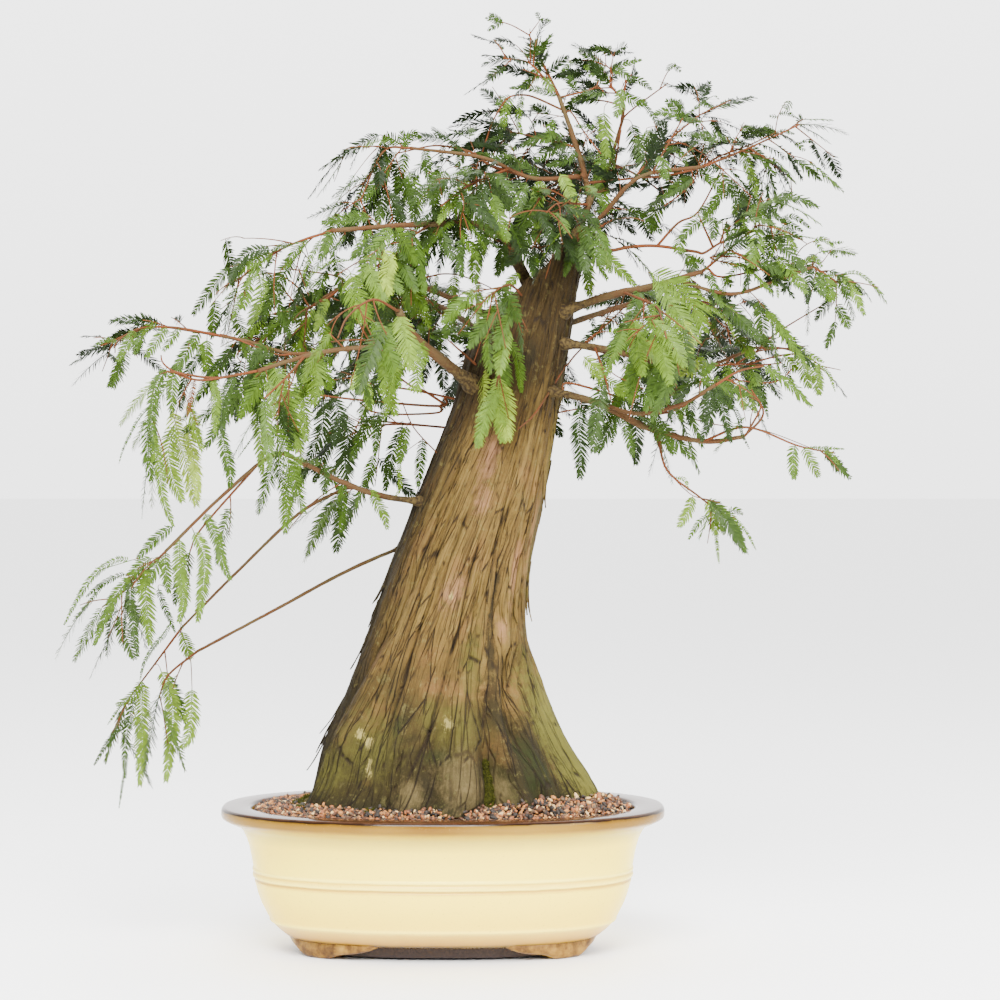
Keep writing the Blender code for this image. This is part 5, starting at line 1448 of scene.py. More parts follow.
# (breadth of the spray in millimetres, tone, which also paints the light or shade the spray shows, how far it comes
# forward in millimetres, its points)
FRONT_SPRAYS = (
    (8, 3, -4, ((117, 340), (106, 340), (94, 346))),
    (16, 4, -6, ((134, 331), (118, 360))),
    (14, 3, -4, ((146, 331), (134, 354))),
    (16, 5, -8, ((158, 325), (150, 326), (143, 336))),
    (17, 4, -8, ((167, 328), (147, 356))),
    (16, 4, -6, ((179, 329), (164, 350))),
    (19, 3, -8, ((198, 331), (181, 361), (173, 372))),
    (18, 4, -10, ((179, 358), (173, 383), (172, 416))),
    (29, 7, -12, ((173, 410), (177, 434), (186, 460), (196, 505))),
    (27, 6, -10, ((172, 422), (168, 453), (173, 478), (182, 500))),
    (19, 7, -12, ((186, 422), (195, 468), (198, 499))),
    (17, 3, -6, ((166, 369), (156, 386), (153, 407), (153, 432), (158, 453))),
    (16, 5, -6, ((153, 432), (164, 499), (173, 526))),
    (5, 3, -4, ((150, 406), (140, 416), (124, 447), (119, 463))),
    (20, 4, -6, ((207, 338), (207, 361), (216, 398))),
    (14, 5, -6, ((213, 380), (216, 398), (215, 433))),
    (18, 4, -4, ((190, 343), (200, 350), (209, 372))),
    (17, 2, -2, ((236, 376), (227, 392), (222, 410), (223, 435))),
    (18, 3, -2, ((223, 430), (224, 447), (230, 471), (230, 487))),
    (9, 8, -6, ((195, 380), (187, 416))),
    (18, 1, 0, ((198, 354), (190, 369), (182, 392), (181, 410))),
    (15, 3, -4, ((175, 527), (156, 539), (138, 558))),
    (10, 4, -4, ((132, 560), (116, 560), (94, 575), (77, 600), (64, 625))),
    (9, 2, -2, ((125, 574), (104, 583), (87, 596))),
    (7, 3, -2, ((102, 583), (85, 608), (73, 621))),
    (15, 4, -6, ((131, 577), (114, 598), (94, 645))),
    (6, 1, -2, ((128, 580), (123, 648))),
    (14, 2, -4, ((131, 580), (131, 604), (138, 656))),
    (23, 5, -10, ((144, 567), (150, 644))),
    (20, 4, -8, ((160, 556), (152, 573), (136, 592))),
    (18, 4, -6, ((152, 558), (140, 566), (126, 584))),
    (17, 4, -4, ((167, 555), (166, 572), (169, 592))),
    (10, 2, -2, ((158, 588), (175, 632))),
    (7, 3, -2, ((170, 620), (164, 635), (154, 646), (144, 663), (140, 680))),
    (20, 5, -8, ((179, 535), (180, 573), (184, 600), (179, 621))),
    (20, 5, -6, ((193, 530), (205, 560), (198, 621))),
    (17, 4, -4, ((207, 514), (217, 539), (224, 566), (230, 579))),
    (19, 5, -6, ((182, 632), (190, 657))),
    (23, 6, -6, ((192, 688), (190, 732), (182, 747))),
    (23, 6, -8, ((160, 668), (173, 711), (166, 781))),
    (23, 6, -8, ((144, 682), (142, 711), (142, 749), (140, 785))),
    (16, 5, -6, ((144, 682), (133, 696), (117, 705))),
    (5, 4, -4, ((123, 703), (108, 724))),
    (14, 3, -2, ((135, 694), (127, 730), (125, 753), (125, 778))),
    (5, 3, -2, ((125, 770), (119, 808))),
    (9, 2, -4, ((130, 720), (110, 740), (94, 765))),
    (17, 5, -6, ((135, 715), (142, 740), (144, 766))),
    (9, 2, -4, ((292, 244), (281, 246), (272, 250))),
    (17, 1, -2, ((273, 250), (253, 251), (241, 260), (229, 284))),
    (18, 4, -6, ((273, 254), (243, 268), (233, 279))),
    (14, 4, -6, ((262, 262), (246, 285))),
    (16, 3, -6, ((307, 239), (296, 250), (285, 268))),
    (16, 3, -6, ((331, 231), (320, 259))),
    (10, 4, -6, ((320, 240), (305, 269), (304, 276))),
    (9, 2, -2, ((345, 235), (335, 248), (331, 258))),
    (15, 4, -6, ((368, 231), (351, 260))),
    (5, 4, -4, ((352, 260), (335, 261), (323, 266), (312, 275), (304, 290))),
    (17, 4, -6, ((330, 275), (318, 282), (306, 284))),
    (25, 5, -12, ((259, 276), (262, 292), (250, 335))),
    (27, 5, -10, ((269, 279), (268, 296), (260, 314), (256, 332))),
    (20, 4, -8, ((250, 280), (243, 308))),
    (8, 4, -4, ((243, 292), (232, 321))),
    (6, 4, -2, ((240, 286), (222, 302))),
    (18, 4, -8, ((300, 309), (284, 317), (269, 330), (259, 347))),
    (29, 5, -14, ((315, 306), (305, 317), (300, 333), (295, 360))),
    (14, 6, -16, ((327, 298), (315, 330))),
    (23, 5, -10, ((323, 318), (328, 352))),
    (32, 5, -16, ((350, 272), (354, 290), (360, 307), (367, 321))),
    (27, 5, -14, ((368, 264), (373, 278), (380, 291), (381, 302))),
    (21, 7, -16, ((384, 250), (390, 264), (386, 279), (390, 294))),
    (25, 5, -16, ((398, 299), (385, 308), (373, 322), (367, 336))),
    (20, 4, -12, ((396, 322), (384, 352), (383, 374))),
    (16, 4, -8, ((371, 342), (374, 360), (381, 371))),
    (25, 6, -12, ((314, 350), (312, 391))),
    (20, 2, -6, ((262, 345), (246, 388))),
    (25, 2, -6, ((274, 356), (262, 352), (250, 362))),
    (17, 6, -10, ((361, 367), (364, 384), (371, 408))),
    (14, 6, -10, ((361, 368), (352, 389))),
    (27, 5, -14, ((408, 335), (414, 352), (418, 370))),
    (20, 4, -8, ((376, 346), (383, 375))),
    (38, 5, -22, ((272, 366), (284, 391), (292, 415), (298, 450))),
    (14, 5, -10, ((268, 380), (272, 398), (273, 416))),
    (27, 5, -14, ((312, 348), (316, 367), (316, 384), (313, 404))),
    (20, 4, -8, ((318, 362), (326, 374), (330, 388))),
    (20, 5, -12, ((257, 385), (257, 410), (260, 434), (262, 474))),
    (18, 4, -8, ((265, 400), (269, 447), (269, 469))),
    (20, 1, -4, ((280, 405), (290, 450))),
    (9, 2, -4, ((255, 396), (240, 404), (230, 412))),
    (3, 3, -2, ((258, 430), (237, 459))),
    (34, 2, -8, ((346, 415), (348, 442), (345, 460), (346, 482))),
    (27, 1, -4, ((324, 400), (322, 430), (309, 458))),
    (25, 1, -2, ((334, 400), (340, 420), (334, 445))),
    (16, 4, -6, ((300, 455), (296, 467), (288, 482))),
    (11, 1, -2, ((311, 459), (298, 487))),
    (15, 2, -4, ((324, 464), (325, 493))),
    (16, 3, -6, ((344, 481), (342, 505), (342, 532))),
    (7, 3, -4, ((362, 486), (356, 509))),
    (16, 5, -6, ((371, 488), (377, 503), (384, 515), (387, 528))),
    (8, 6, -6, ((401, 458), (400, 487), (395, 497))),
    (15, 3, -4, ((377, 412), (375, 454))),
    (20, 2, -6, ((403, 424), (391, 458), (385, 490))),
    (18, 4, -8, ((407, 426), (399, 462))),
    (16, 2, -4, ((422, 440), (418, 486))),
    (16, 3, -4, ((377, 455), (364, 486))),
    (20, 1, -2, ((381, 376), (377, 393), (382, 408))),
    (20, 2, -2, ((392, 402), (386, 414), (374, 424))),
    (14, 3, -4, ((404, 150), (402, 132))),
    (14, 3, -4, ((404, 146), (413, 134), (422, 141))),
    (9, 4, -2, ((399, 153), (386, 158), (366, 177))),
    (9, 4, -2, ((366, 177), (351, 216))),
    (20, 3, -6, ((390, 155), (377, 195))),
    (18, 3, -8, ((404, 154), (397, 191))),
    (16, 2, -4, ((424, 150), (429, 180))),
    (10, 2, -2, ((444, 148), (440, 158))),
    (29, 4, -14, ((409, 172), (415, 206), (413, 220))),
    (16, 1, -4, ((378, 190), (368, 206), (362, 220))),
    (18, 3, -6, ((384, 190), (378, 224))),
    (18, 3, -8, ((432, 172), (438, 188), (434, 206))),
    (18, 5, -10, ((473, 185), (456, 196), (439, 222))),
    (15, 2, -4, ((452, 146), (461, 154), (458, 166))),
    (20, 3, -6, ((446, 170), (440, 186), (428, 196))),
    (20, 2, -4, ((470, 165), (462, 178), (452, 184))),
    (20, 5, -10, ((452, 220), (430, 240))),
    (23, 4, -12, ((399, 230), (397, 247), (398, 266))),
    (20, 2, -6, ((428, 226), (419, 271), (424, 282))),
    (18, 3, -8, ((411, 228), (408, 255), (411, 277))),
    (23, 1, -6, ((460, 222), (460, 240), (455, 273))),
    (23, 4, -10, ((486, 234), (479, 249), (475, 266), (474, 282))),
    (19, 2, -6, ((502, 245), (502, 260), (497, 275))),
    (18, 5, -10, ((509, 199), (480, 224))),
    (16, 5, -8, ((520, 274), (513, 280), (505, 290))),
    (11, 5, -6, ((437, 277), (432, 298))),
    (18, 5, -6, ((456, 275), (451, 308))),
    (19, 6, -10, ((475, 281), (476, 327))),
    (23, 2, -6, ((500, 286), (503, 298), (502, 312))),
    (23, 5, -16, ((403, 296), (415, 312), (424, 333))),
    (29, 6, -20, ((401, 312), (411, 369))),
    (20, 4, -12, ((421, 300), (432, 325), (440, 349))),
    (20, 5, -10, ((418, 338), (424, 363))),
    (23, 5, -8, ((421, 368), (416, 390))),
    (23, 7, -14, ((483, 367), (484, 389), (481, 446))),
    (25, 4, -18, ((496, 346), (503, 368), (505, 395))),
    (25, 7, -18, ((504, 385), (508, 440))),
    (16, 4, -12, ((504, 335), (518, 358), (521, 392))),
    (9, 2, -2, ((505, 21), (490, 14))),
    (9, 2, -2, ((502, 22), (486, 18))),
    (9, 2, -2, ((501, 24), (488, 30))),
    (8, 2, -2, ((540, 20), (537, 13))),
    (8, 2, -2, ((540, 20), (550, 21))),
    (34, 2, -2, ((543, 67), (533, 45))),
    (16, 4, -4, ((543, 62), (533, 76), (522, 88))),
    (14, 4, -4, ((542, 76), (552, 91))),
    (11, 3, -2, ((558, 95), (529, 88), (510, 88))),
    (16, 4, -6, ((512, 97), (505, 112), (501, 134))),
    (11, 4, -6, ((521, 98), (518, 119), (522, 134))),
    (11, 3, -2, ((510, 97), (502, 100), (497, 105))),
    (16, 2, -4, ((576, 90), (568, 78))),
    (9, 3, -2, ((578, 60), (570, 64), (561, 72))),
    (10, 4, -2, ((583, 60), (588, 70))),
    (9, 3, -2, ((606, 66), (588, 77))),
    (8, 2, -2, ((605, 52), (601, 47), (596, 48))),
    (8, 2, -2, ((605, 52), (608, 48), (611, 48))),
    (10, 3, -2, ((610, 67), (641, 60))),
    (14, 3, -2, ((612, 70), (621, 72), (629, 78))),
    (14, 3, -2, ((612, 80), (604, 78), (596, 82))),
    (11, 2, -2, ((626, 80), (638, 80), (651, 89))),
    (16, 3, -4, ((624, 92), (632, 100), (646, 104))),
    (18, 4, -8, ((622, 88), (619, 107), (616, 116))),
    (16, 2, -2, ((600, 101), (588, 98), (573, 101))),
    (18, 2, -2, ((604, 92), (596, 94), (584, 92))),
    (9, 2, -2, ((676, 64), (671, 66), (667, 70))),
    (9, 2, -2, ((674, 66), (680, 71))),
    (16, 2, -4, ((684, 117), (676, 107), (667, 101))),
    (14, 2, -4, ((684, 117), (679, 101))),
    (14, 3, -4, ((682, 117), (668, 112), (655, 114))),
    (6, 2, -2, ((686, 116), (711, 97), (719, 99))),
    (8, 2, -2, ((699, 105), (706, 105), (712, 107))),
    (9, 2, -2, ((686, 117), (694, 122), (699, 128))),
    (8, 2, -2, ((686, 116), (702, 122))),
    (9, 2, -2, ((674, 134), (694, 135), (722, 144))),
    (9, 2, -2, ((641, 105), (655, 119), (662, 135), (667, 142))),
    (27, 5, -12, ((604, 112), (608, 156))),
    (23, 4, -10, ((606, 150), (600, 170), (606, 213))),
    (25, 1, -6, ((632, 124), (637, 159))),
    (29, 3, -10, ((636, 134), (644, 152), (646, 178))),
    (18, 5, -8, ((646, 130), (660, 150))),
    (20, 3, -8, ((658, 156), (664, 166), (665, 178))),
    (10, 3, -4, ((663, 147), (678, 151), (688, 168))),
    (8, 2, -2, ((595, 128), (575, 126))),
    (8, 2, -2, ((519, 135), (497, 138), (480, 146))),
    (8, 2, -2, ((530, 130), (536, 122))),
    (18, 2, -4, ((564, 136), (543, 138), (522, 146))),
    (20, 2, -6, ((570, 143), (553, 149), (536, 160))),
    (18, 2, -6, ((575, 150), (566, 160), (548, 166))),
    (16, 3, -6, ((553, 119), (550, 135), (545, 142))),
    (11, 2, -2, ((506, 170), (494, 158), (478, 153))),
    (16, 2, -4, ((520, 172), (508, 160), (492, 160))),
    (18, 2, -4, ((540, 176), (526, 166), (510, 160))),
    (20, 6, -12, ((560, 174), (568, 188), (576, 210), (577, 217))),
    (21, 5, -10, ((541, 181), (537, 204), (537, 241))),
    (20, 2, -4, ((520, 180), (512, 196), (500, 208))),
    (20, 1, -4, ((506, 180), (496, 192), (494, 206))),
    (20, 3, -8, ((526, 182), (514, 216))),
    (18, 2, -6, ((505, 242), (499, 270))),
    (20, 3, -8, ((532, 246), (536, 258), (532, 275))),
    (16, 3, -6, ((581, 244), (570, 259), (565, 275))),
    (20, 5, -10, ((588, 252), (588, 274), (590, 295))),
    (18, 5, -12, ((600, 247), (612, 262), (635, 285))),
    (16, 5, -10, ((600, 246), (610, 272))),
    (25, 4, -12, ((664, 194), (656, 211), (650, 232))),
    (16, 2, -6, ((690, 177), (664, 197))),
    (14, 2, -4, ((791, 101), (786, 108))),
    (7, 2, -2, ((779, 114), (787, 113), (795, 117))),
    (8, 2, -2, ((774, 132), (760, 129))),
    (8, 2, -2, ((774, 130), (768, 126), (764, 132))),
    (7, 2, -2, ((778, 117), (770, 116))),
    (7, 2, -2, ((775, 133), (784, 131), (794, 134))),
    (9, 3, -2, ((796, 142), (804, 150))),
    (5, 2, -2, ((798, 142), (806, 141), (815, 144))),
    (16, 5, -6, ((739, 148), (754, 184), (756, 198))),
    (12, 2, -4, ((747, 148), (755, 150), (763, 156))),
    (10, 2, -4, ((726, 150), (734, 162))),
    (11, 2, -2, ((747, 146), (734, 141), (722, 143))),
    (14, 2, -4, ((722, 168), (700, 170))),
    (18, 3, -8, ((720, 172), (727, 184), (736, 193))),
    (16, 3, -6, ((704, 176), (716, 184), (726, 197))),
    (18, 2, -6, ((690, 178), (667, 196))),
    (18, 4, -10, ((736, 200), (740, 219), (748, 236))),
    (14, 2, -6, ((736, 193), (754, 201), (787, 224))),
    (15, 3, -6, ((740, 204), (760, 214), (774, 226))),
    (9, 2, -2, ((782, 220), (794, 217), (810, 228))),
    (10, 2, -2, ((781, 221), (792, 225), (802, 231))),
    (10, 2, -2, ((782, 225), (802, 239))),
    (16, 5, -8, ((776, 226), (788, 239), (796, 251))),
    (25, 4, -14, ((757, 228), (756, 243), (751, 265))),
    (18, 4, -8, ((771, 230), (772, 244), (770, 258))),
    (20, 4, -8, ((681, 234), (678, 252))),
    (16, 3, -6, ((712, 216), (714, 239))),
    (18, 3, -6, ((700, 220), (690, 228), (682, 238))),
    (16, 2, -6, ((720, 200), (710, 208), (700, 212))),
    (8, 4, -4, ((814, 241), (824, 239), (834, 247))),
    (6, 3, -2, ((828, 244), (843, 242))),
    (7, 4, -2, ((815, 242), (824, 252))),
    (7, 3, -2, ((828, 253), (837, 257))),
    (41, 5, -24, ((650, 272), (690, 300), (702, 330))),
    (29, 5, -20, ((656, 280), (670, 302), (684, 320), (697, 342))),
    (25, 4, -14, ((655, 302), (653, 321), (655, 346))),
    (21, 3, -10, ((640, 290), (635, 307), (626, 328))),
    (21, 5, -16, ((669, 308), (680, 344))),
    (17, 7, -14, ((685, 322), (687, 338), (691, 352))),
    (27, 5, -16, ((632, 336), (678, 372))),
    (20, 6, -16, ((645, 342), (662, 352), (674, 366))),
    (16, 5, -10, ((608, 332), (622, 334), (635, 348))),
    (20, 4, -10, ((616, 332), (626, 342), (632, 354))),
    (20, 6, -12, ((584, 357), (598, 372), (606, 389))),
    (19, 5, -10, ((627, 358), (628, 378), (636, 397))),
    (19, 2, -6, ((644, 360), (654, 397))),
    (20, 7, -8, ((697, 360), (690, 370), (680, 376))),
    (16, 6, -8, ((700, 358), (706, 370), (704, 382))),
    (18, 3, -6, ((694, 380), (684, 390), (676, 404))),
    (16, 3, -6, ((710, 269), (714, 288), (722, 306))),
    (3, 4, -4, ((724, 301), (733, 310), (747, 328))),
    (7, 5, -6, ((701, 305), (718, 312), (730, 325), (734, 337))),
    (10, 2, -2, ((592, 312), (592, 320), (594, 327))),
    (20, 3, -8, ((681, 248), (690, 260), (695, 275))),
    (14, 2, -4, ((721, 274), (731, 285))),
    (16, 1, -4, ((812, 270), (807, 303))),
    (23, 4, -8, ((826, 271), (832, 299))),
    (18, 3, -4, ((820, 271), (820, 284), (824, 296))),
    (16, 2, -4, ((838, 275), (848, 297))),
    (16, 5, -6, ((843, 276), (853, 290), (864, 314))),
    (6, 4, -2, ((843, 274), (860, 274), (884, 295))),
    (21, 5, -8, ((775, 262), (777, 284))),
    (6, 5, -4, ((776, 278), (778, 298))),
    (14, 1, -2, ((765, 268), (766, 284))),
    (16, 3, -6, ((783, 262), (780, 272), (774, 284))),
    (9, 4, -4, ((799, 266), (813, 258), (822, 266))),
    (10, 5, -4, ((795, 346), (823, 362))),
    (20, 5, -8, ((798, 354), (809, 387))),
    (18, 5, -8, ((812, 362), (819, 394))),
    (6, 5, -2, ((817, 363), (829, 374), (835, 391))),
    (19, 4, -8, ((752, 364), (757, 384))),
    (14, 1, -2, ((768, 365), (775, 382))),
    (20, 5, -8, ((738, 338), (746, 346), (752, 357))),
    (16, 3, -4, ((750, 338), (762, 340), (773, 348))),
    (18, 5, -8, ((784, 352), (796, 370))),
    (8, 2, -4, ((783, 366), (795, 389))),
    (15, 5, -6, ((738, 381), (744, 409))),
    (11, 5, -6, ((748, 382), (755, 412))),
    (16, 2, -4, ((754, 382), (760, 405))),
    (8, 2, -2, ((762, 383), (768, 418))),
    (16, 4, -6, ((727, 366), (727, 380), (725, 393))),
    (16, 1, -4, ((713, 388), (710, 417), (702, 440))),
    (15, 1, -4, ((715, 386), (725, 417), (731, 442))),
    (7, 1, -2, ((718, 384), (737, 413), (742, 434), (749, 448))),
    (17, 4, -4, ((797, 443), (793, 455), (794, 478))),
    (17, 5, -4, ((805, 446), (818, 476))),
    (6, 4, -2, ((810, 446), (844, 449))),
    (8, 4, -2, ((822, 448), (831, 455), (838, 464))),
    (25, 1, -6, ((581, 405), (579, 431), (581, 453), (580, 478))),
    (16, 1, -4, ((596, 408), (590, 444))),
    (9, 2, -4, ((618, 414), (612, 444))),
    (16, 3, -6, ((625, 416), (633, 456))),
    (14, 1, -2, ((638, 405), (644, 424))),
    (14, 1, -2, ((692, 396), (689, 423))),
    (14, 4, -4, ((678, 396), (681, 420))),
    (16, 6, -4, ((692, 496), (688, 512), (679, 526))),
    (6, 6, -2, ((676, 478), (685, 480), (688, 490))),
    (20, 6, -4, ((707, 500), (713, 515), (716, 533))),
    (6, 5, -2, ((716, 528), (719, 563))),
    (9, 4, -2, ((707, 516), (697, 525), (689, 539))),
    (16, 5, -4, ((729, 511), (740, 540))),
    (5, 4, -2, ((738, 536), (748, 554))),
    (5, 5, -2, ((735, 518), (747, 533), (756, 550))),
    (11, 4, -4, ((728, 511), (735, 510), (742, 514))),
    (18, 1, -2, ((572, 392), (586, 410))),
    (18, 2, -2, ((600, 395), (606, 404), (604, 418))),
    (19, 5, -6, ((608, 378), (631, 396))),
    (14, 3, -4, ((650, 386), (656, 408))),
    (18, 2, -4, ((660, 392), (664, 402), (672, 412))),
)
STALK_RADII = (0.5, 0.4)
ON_THE_SPOT = 5
FORWARD_WEIGHT = 0.018
# How much further away wood seems that a shoot at the front starts from less readily
STEM_COST, SPRAY_COST, TRUNK_COST = 2.0, 2.0, 3.5
focal_steps = CAMERA_LENS / SENSOR * VIEW_STEPS
eye = Vector((CAMERA_ACROSS, -CAMERA_AWAY, CAMERA_HEIGHT))
view_ahead = Vector((0, math.cos(CAMERA_PITCH), -math.sin(CAMERA_PITCH)))
view_up = Vector((0, math.sin(CAMERA_PITCH), math.cos(CAMERA_PITCH)))


def seen_at(place):
    """Where a place shows in the front view, in its steps across and down."""
    off = place - POT_CENTRE - eye
    away = off.dot(view_ahead)
    return VIEW_STEPS / 2 + focal_steps * off.x / away, VIEW_STEPS / 2 - focal_steps * off.dot(view_up) / away


def shown_place(across, down, depth):
    """The place that shows at a point of the front view, so deep behind the pot's centre."""
    aim = view_ahead + view_up * (VIEW_STEPS / 2 - down) / focal_steps
    aim.x = (across - VIEW_STEPS / 2) / focal_steps
    return POT_CENTRE + eye + aim * ((depth * MM + CAMERA_AWAY) / aim.y)


def before_trunk(place):
    """The depth of a place, drawn forward as far as it takes to clear the trunk, in millimetres."""
    across, depth, height = (place - POT_CENTRE) / MM
    if height > 790:
        return depth
    middle, half_width, half_depth = trunk_ring(height)
    off = abs(across - middle) / half_width
    if off > 1.03:
        return depth
    return min(depth, -(half_depth + 6) * math.sqrt(1 - min(1.0, off) ** 2) - 7)


class Wood:
    """The places on limbs, twigs and sprays that a shoot at the front may start from."""

    def __init__(self):
        self.seen = np.zeros((12000, 2))
        self.places = np.zeros((12000, 3))
        self.costs = np.zeros(12000)
        self.is_spray = np.zeros(12000, bool)
        self.count = 0

    def add(self, route, cost=0.0, is_spray=False):
        for place in route:
            self.seen[self.count] = seen_at(place)
            self.places[self.count] = place
            self.costs[self.count] = cost + FORWARD_WEIGHT * (place - POT_CENTRE).y / MM
            self.is_spray[self.count] = is_spray
            self.count += 1

    def nearest(self, point):
        """(place, how far off it shows, whether it is on a spray)"""
        away = np.hypot(*(self.seen[:self.count] - np.array(point)).T)
        best = int((away + self.costs[:self.count]).argmin())
        return Vector(self.places[best]), away[best], self.is_spray[best]


wood = Wood()
for name, route in routes.items():
    is_stem = name.startswith("foliage")
    wood.add([place for place in route if not in_trunk(place)], STEM_COST if is_stem else 0.0)
for height in range(470, 760, 6):
    middle, half_width, half_depth = trunk_ring(height)
    for direction in range(-180, 1, 15):
        across, back = math.cos(math.radians(direction)), math.sin(math.radians(direction))
        skin_place = Vector((middle + (half_width - 5) * across, (half_depth - 5) * back, height))
        wood.add([POT_CENTRE + skin_place * MM], TRUNK_COST)


def front_route(points, forward, wander, rng):
    """(the smooth route of a shoot from what bears it, whether its first stretch is a bare stalk)"""
    start, off, on_spray = wood.nearest(points[0])
    steps = [math.dist(a, b) for a, b in zip(points, points[1:])]
    drift = rng.uniform(-0.30, 0.22) * wander * sum(steps)
    if on_spray:
        drift, forward = drift * 0.4, max(forward * 0.35, -6)
    depth = (start - POT_CENTRE).y / MM + (0 if off < 4 else forward * 0.3)
    places = []
    for i, (across, down) in enumerate(points):
        share = i / (len(points) - 1)
        wanted = depth + forward * (0.35 + 0.9 * share) + drift * share
        for _ in range(2):
            place = shown_place(across, down, wanted)
            wanted = before_trunk(place)
        places.append(shown_place(across, down, wanted))
    bare = (places[0] - start).length > ON_THE_SPOT * MM and off > 3
    if bare:
        places.insert(0, start)
    else:
        places[0] = start
    return smooth_route(places, 5), bare


rng = random.Random(5)
for root_radius, tip_radius, forward, points in FRONT_TWIGS:
    route, _ = front_route(points, forward, 0.4, rng)
    twig = Twig(route, (root_radius, tip_radius))
    twig.leafy = True
    all_twigs.append(twig)
    wood.add(route[2:])
for breadth, tone, forward, points in FRONT_SPRAYS:
    route, bare = front_route(points, forward, 1.0, rng)
    if bare:
        stalk = Twig(route[:6], STALK_RADII)
        stalk.leafy = True
        all_twigs.append(stalk)
        route = route[5:]
    wood.add(route[3:], SPRAY_COST, True)
    facing = Vector((rng.uniform(-0.45, 0.45), -1, rng.uniform(-0.3, 0.5)))
    sprays.append(Spray(route, facing, 0.5, breadth, tone))

# Short leafy shoots also stand along the boughs themselves, on the side away from the front.
# bough, first and last share that bears shoots, shoots, their lengths, how far they hang
SHOOTS = (
    ("bough_left_front", 0.45, 1.0, 3, (25, 60), 0.7), ("bough_left_long", 0.1, 1.0, 4, (25, 60), 0.7),
    ("bough_left_far", 0.1, 1.0, 3, (20, 45), 0.5), ("bough_left_arch", 0.2, 1.0, 7, (20, 55), 0.5),
    ("bough_left_mid", 0.3, 1.0, 6, (20, 50), 0.5), ("bough_left_low", 0.4, 1.0, 3, (20, 45), 0.7),
    ("bough_right_upper", 0.3, 1.0, 4, (20, 55), 0.5), ("bough_right_far", 0.1, 1.0, 2, (20, 45), 0.5),
    ("bough_right_mid", 0.3, 1.0, 3, (20, 50), 0.6), ("bough_right_outer", 0.1, 1.0, 4, (20, 50), 0.5),
    ("bough_right_reach", 0.2, 1.0, 3, (20, 45), 0.6), ("leader", 0.15, 1.0, 9, (25, 75), 0.15),
    ("bough_top_right", 0.1, 1.0, 7, (20, 60), 0.3), ("bough_top_back", 0.1, 1.0, 7, (20, 55), 0.2),
    ("bough_top_left", 0.1, 1.0, 8, (20, 55), 0.4), ("bough_back_left", 0.4, 1.0, 7, (25, 60), 0.5),
    ("bough_back_right", 0.4, 1.0, 7, (25, 60), 0.5),
)
for bough, first, last, shoots_wanted, sizes, hang in SHOOTS:
    seed = random.Random(bough)
    grown = 0
    for _ in range(shoots_wanted * 12):
        if grown >= shoots_wanted:
            break
        length = len(routes[bough]) - 1
        host = Twig(routes[bough][:max(3, round(seed.uniform(first, last) * length))], None)
        shoot = twig_from(host, 0.98, sizes, hang, seed, SPRIG_RADII)
        if twig_tips.near(shoot.route[-1], 15) or in_trunk(shoot.route[-1]) or in_trunk(shoot.route[3]):
            continue
        if shoot.route[-1].y < shoot.route[0].y:
            continue
        twig_tips.take(shoot.route[-1])
        all_twigs.append(shoot)
        grown += 1
        lengths = [size * float(np.interp(shoot.route[0].z / MM, (740, 930), (1.0, 0.62))) for size in (45, 80)]
        for share, side in ((1.0, 0), (0.4, 1), (0.65, -1), (0.88, 1)):
            keep_spray(spray_from(shoot, share, side, lengths, hang, seed), shoot)
leafy_twigs = [twig for twig in all_twigs if twig.leafy]
print("sprays", len(sprays), "twigs", len(leafy_twigs), "of", len(all_twigs))

twig_bark = make_bough_bark("twig_bark", (0.095, 0.026, 0.007), (0.060, 0.024, 0.008), 700.0)
points, faces = heaped([limb(twig.route, twig.radii, TWIG_SIDES) for twig in leafy_twigs])
twigs = joined_mesh("twigs", points, faces, twig_bark)
twigs.data.shade_smooth()
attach(twigs, "root")
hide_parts(*[row[0] for row in MASSES])

# Each spray is a slender green shoot with flat soft needles in two ranks, longest at the middle.
# The sprays are dealt out in tones, partly their own colour and partly painted light and shade: fresh and yellow as
# painted light at the front and on hanging tips, dark as painted shade behind and high in the crown.
NEEDLES_APART = 2.0
NEEDLE_WIDTH = 1.85
NEEDLE_LEAN = math.radians(60)
PIECE_TRIANGLES = 190000
# Breadth of a spray that has none of its own: so much, and so much of its length
BREADTH_LEAST, BREADTH_SHARE = 13, 0.14
SPRAY_TONES = (
    ("needles_deep", (0.0039, 0.0100, 0.0004)), ("needles_dark", (0.0082, 0.0190, 0.0008)),
    ("needles_shade", (0.0155, 0.0328, 0.0016)), ("needles_mid", (0.0252, 0.0513, 0.0028)),
    ("needles_green", (0.0388, 0.0741, 0.0043)), ("needles_light", (0.0582, 0.1026, 0.0065)),
    ("needles_fresh", (0.0873, 0.1425, 0.0105)), ("needles_yellow", (0.1455, 0.2042, 0.0186)),
    ("needles_withered", (0.0727, 0.0256, 0.0056)),
)
LIGHTEST_BY_RULE = 6


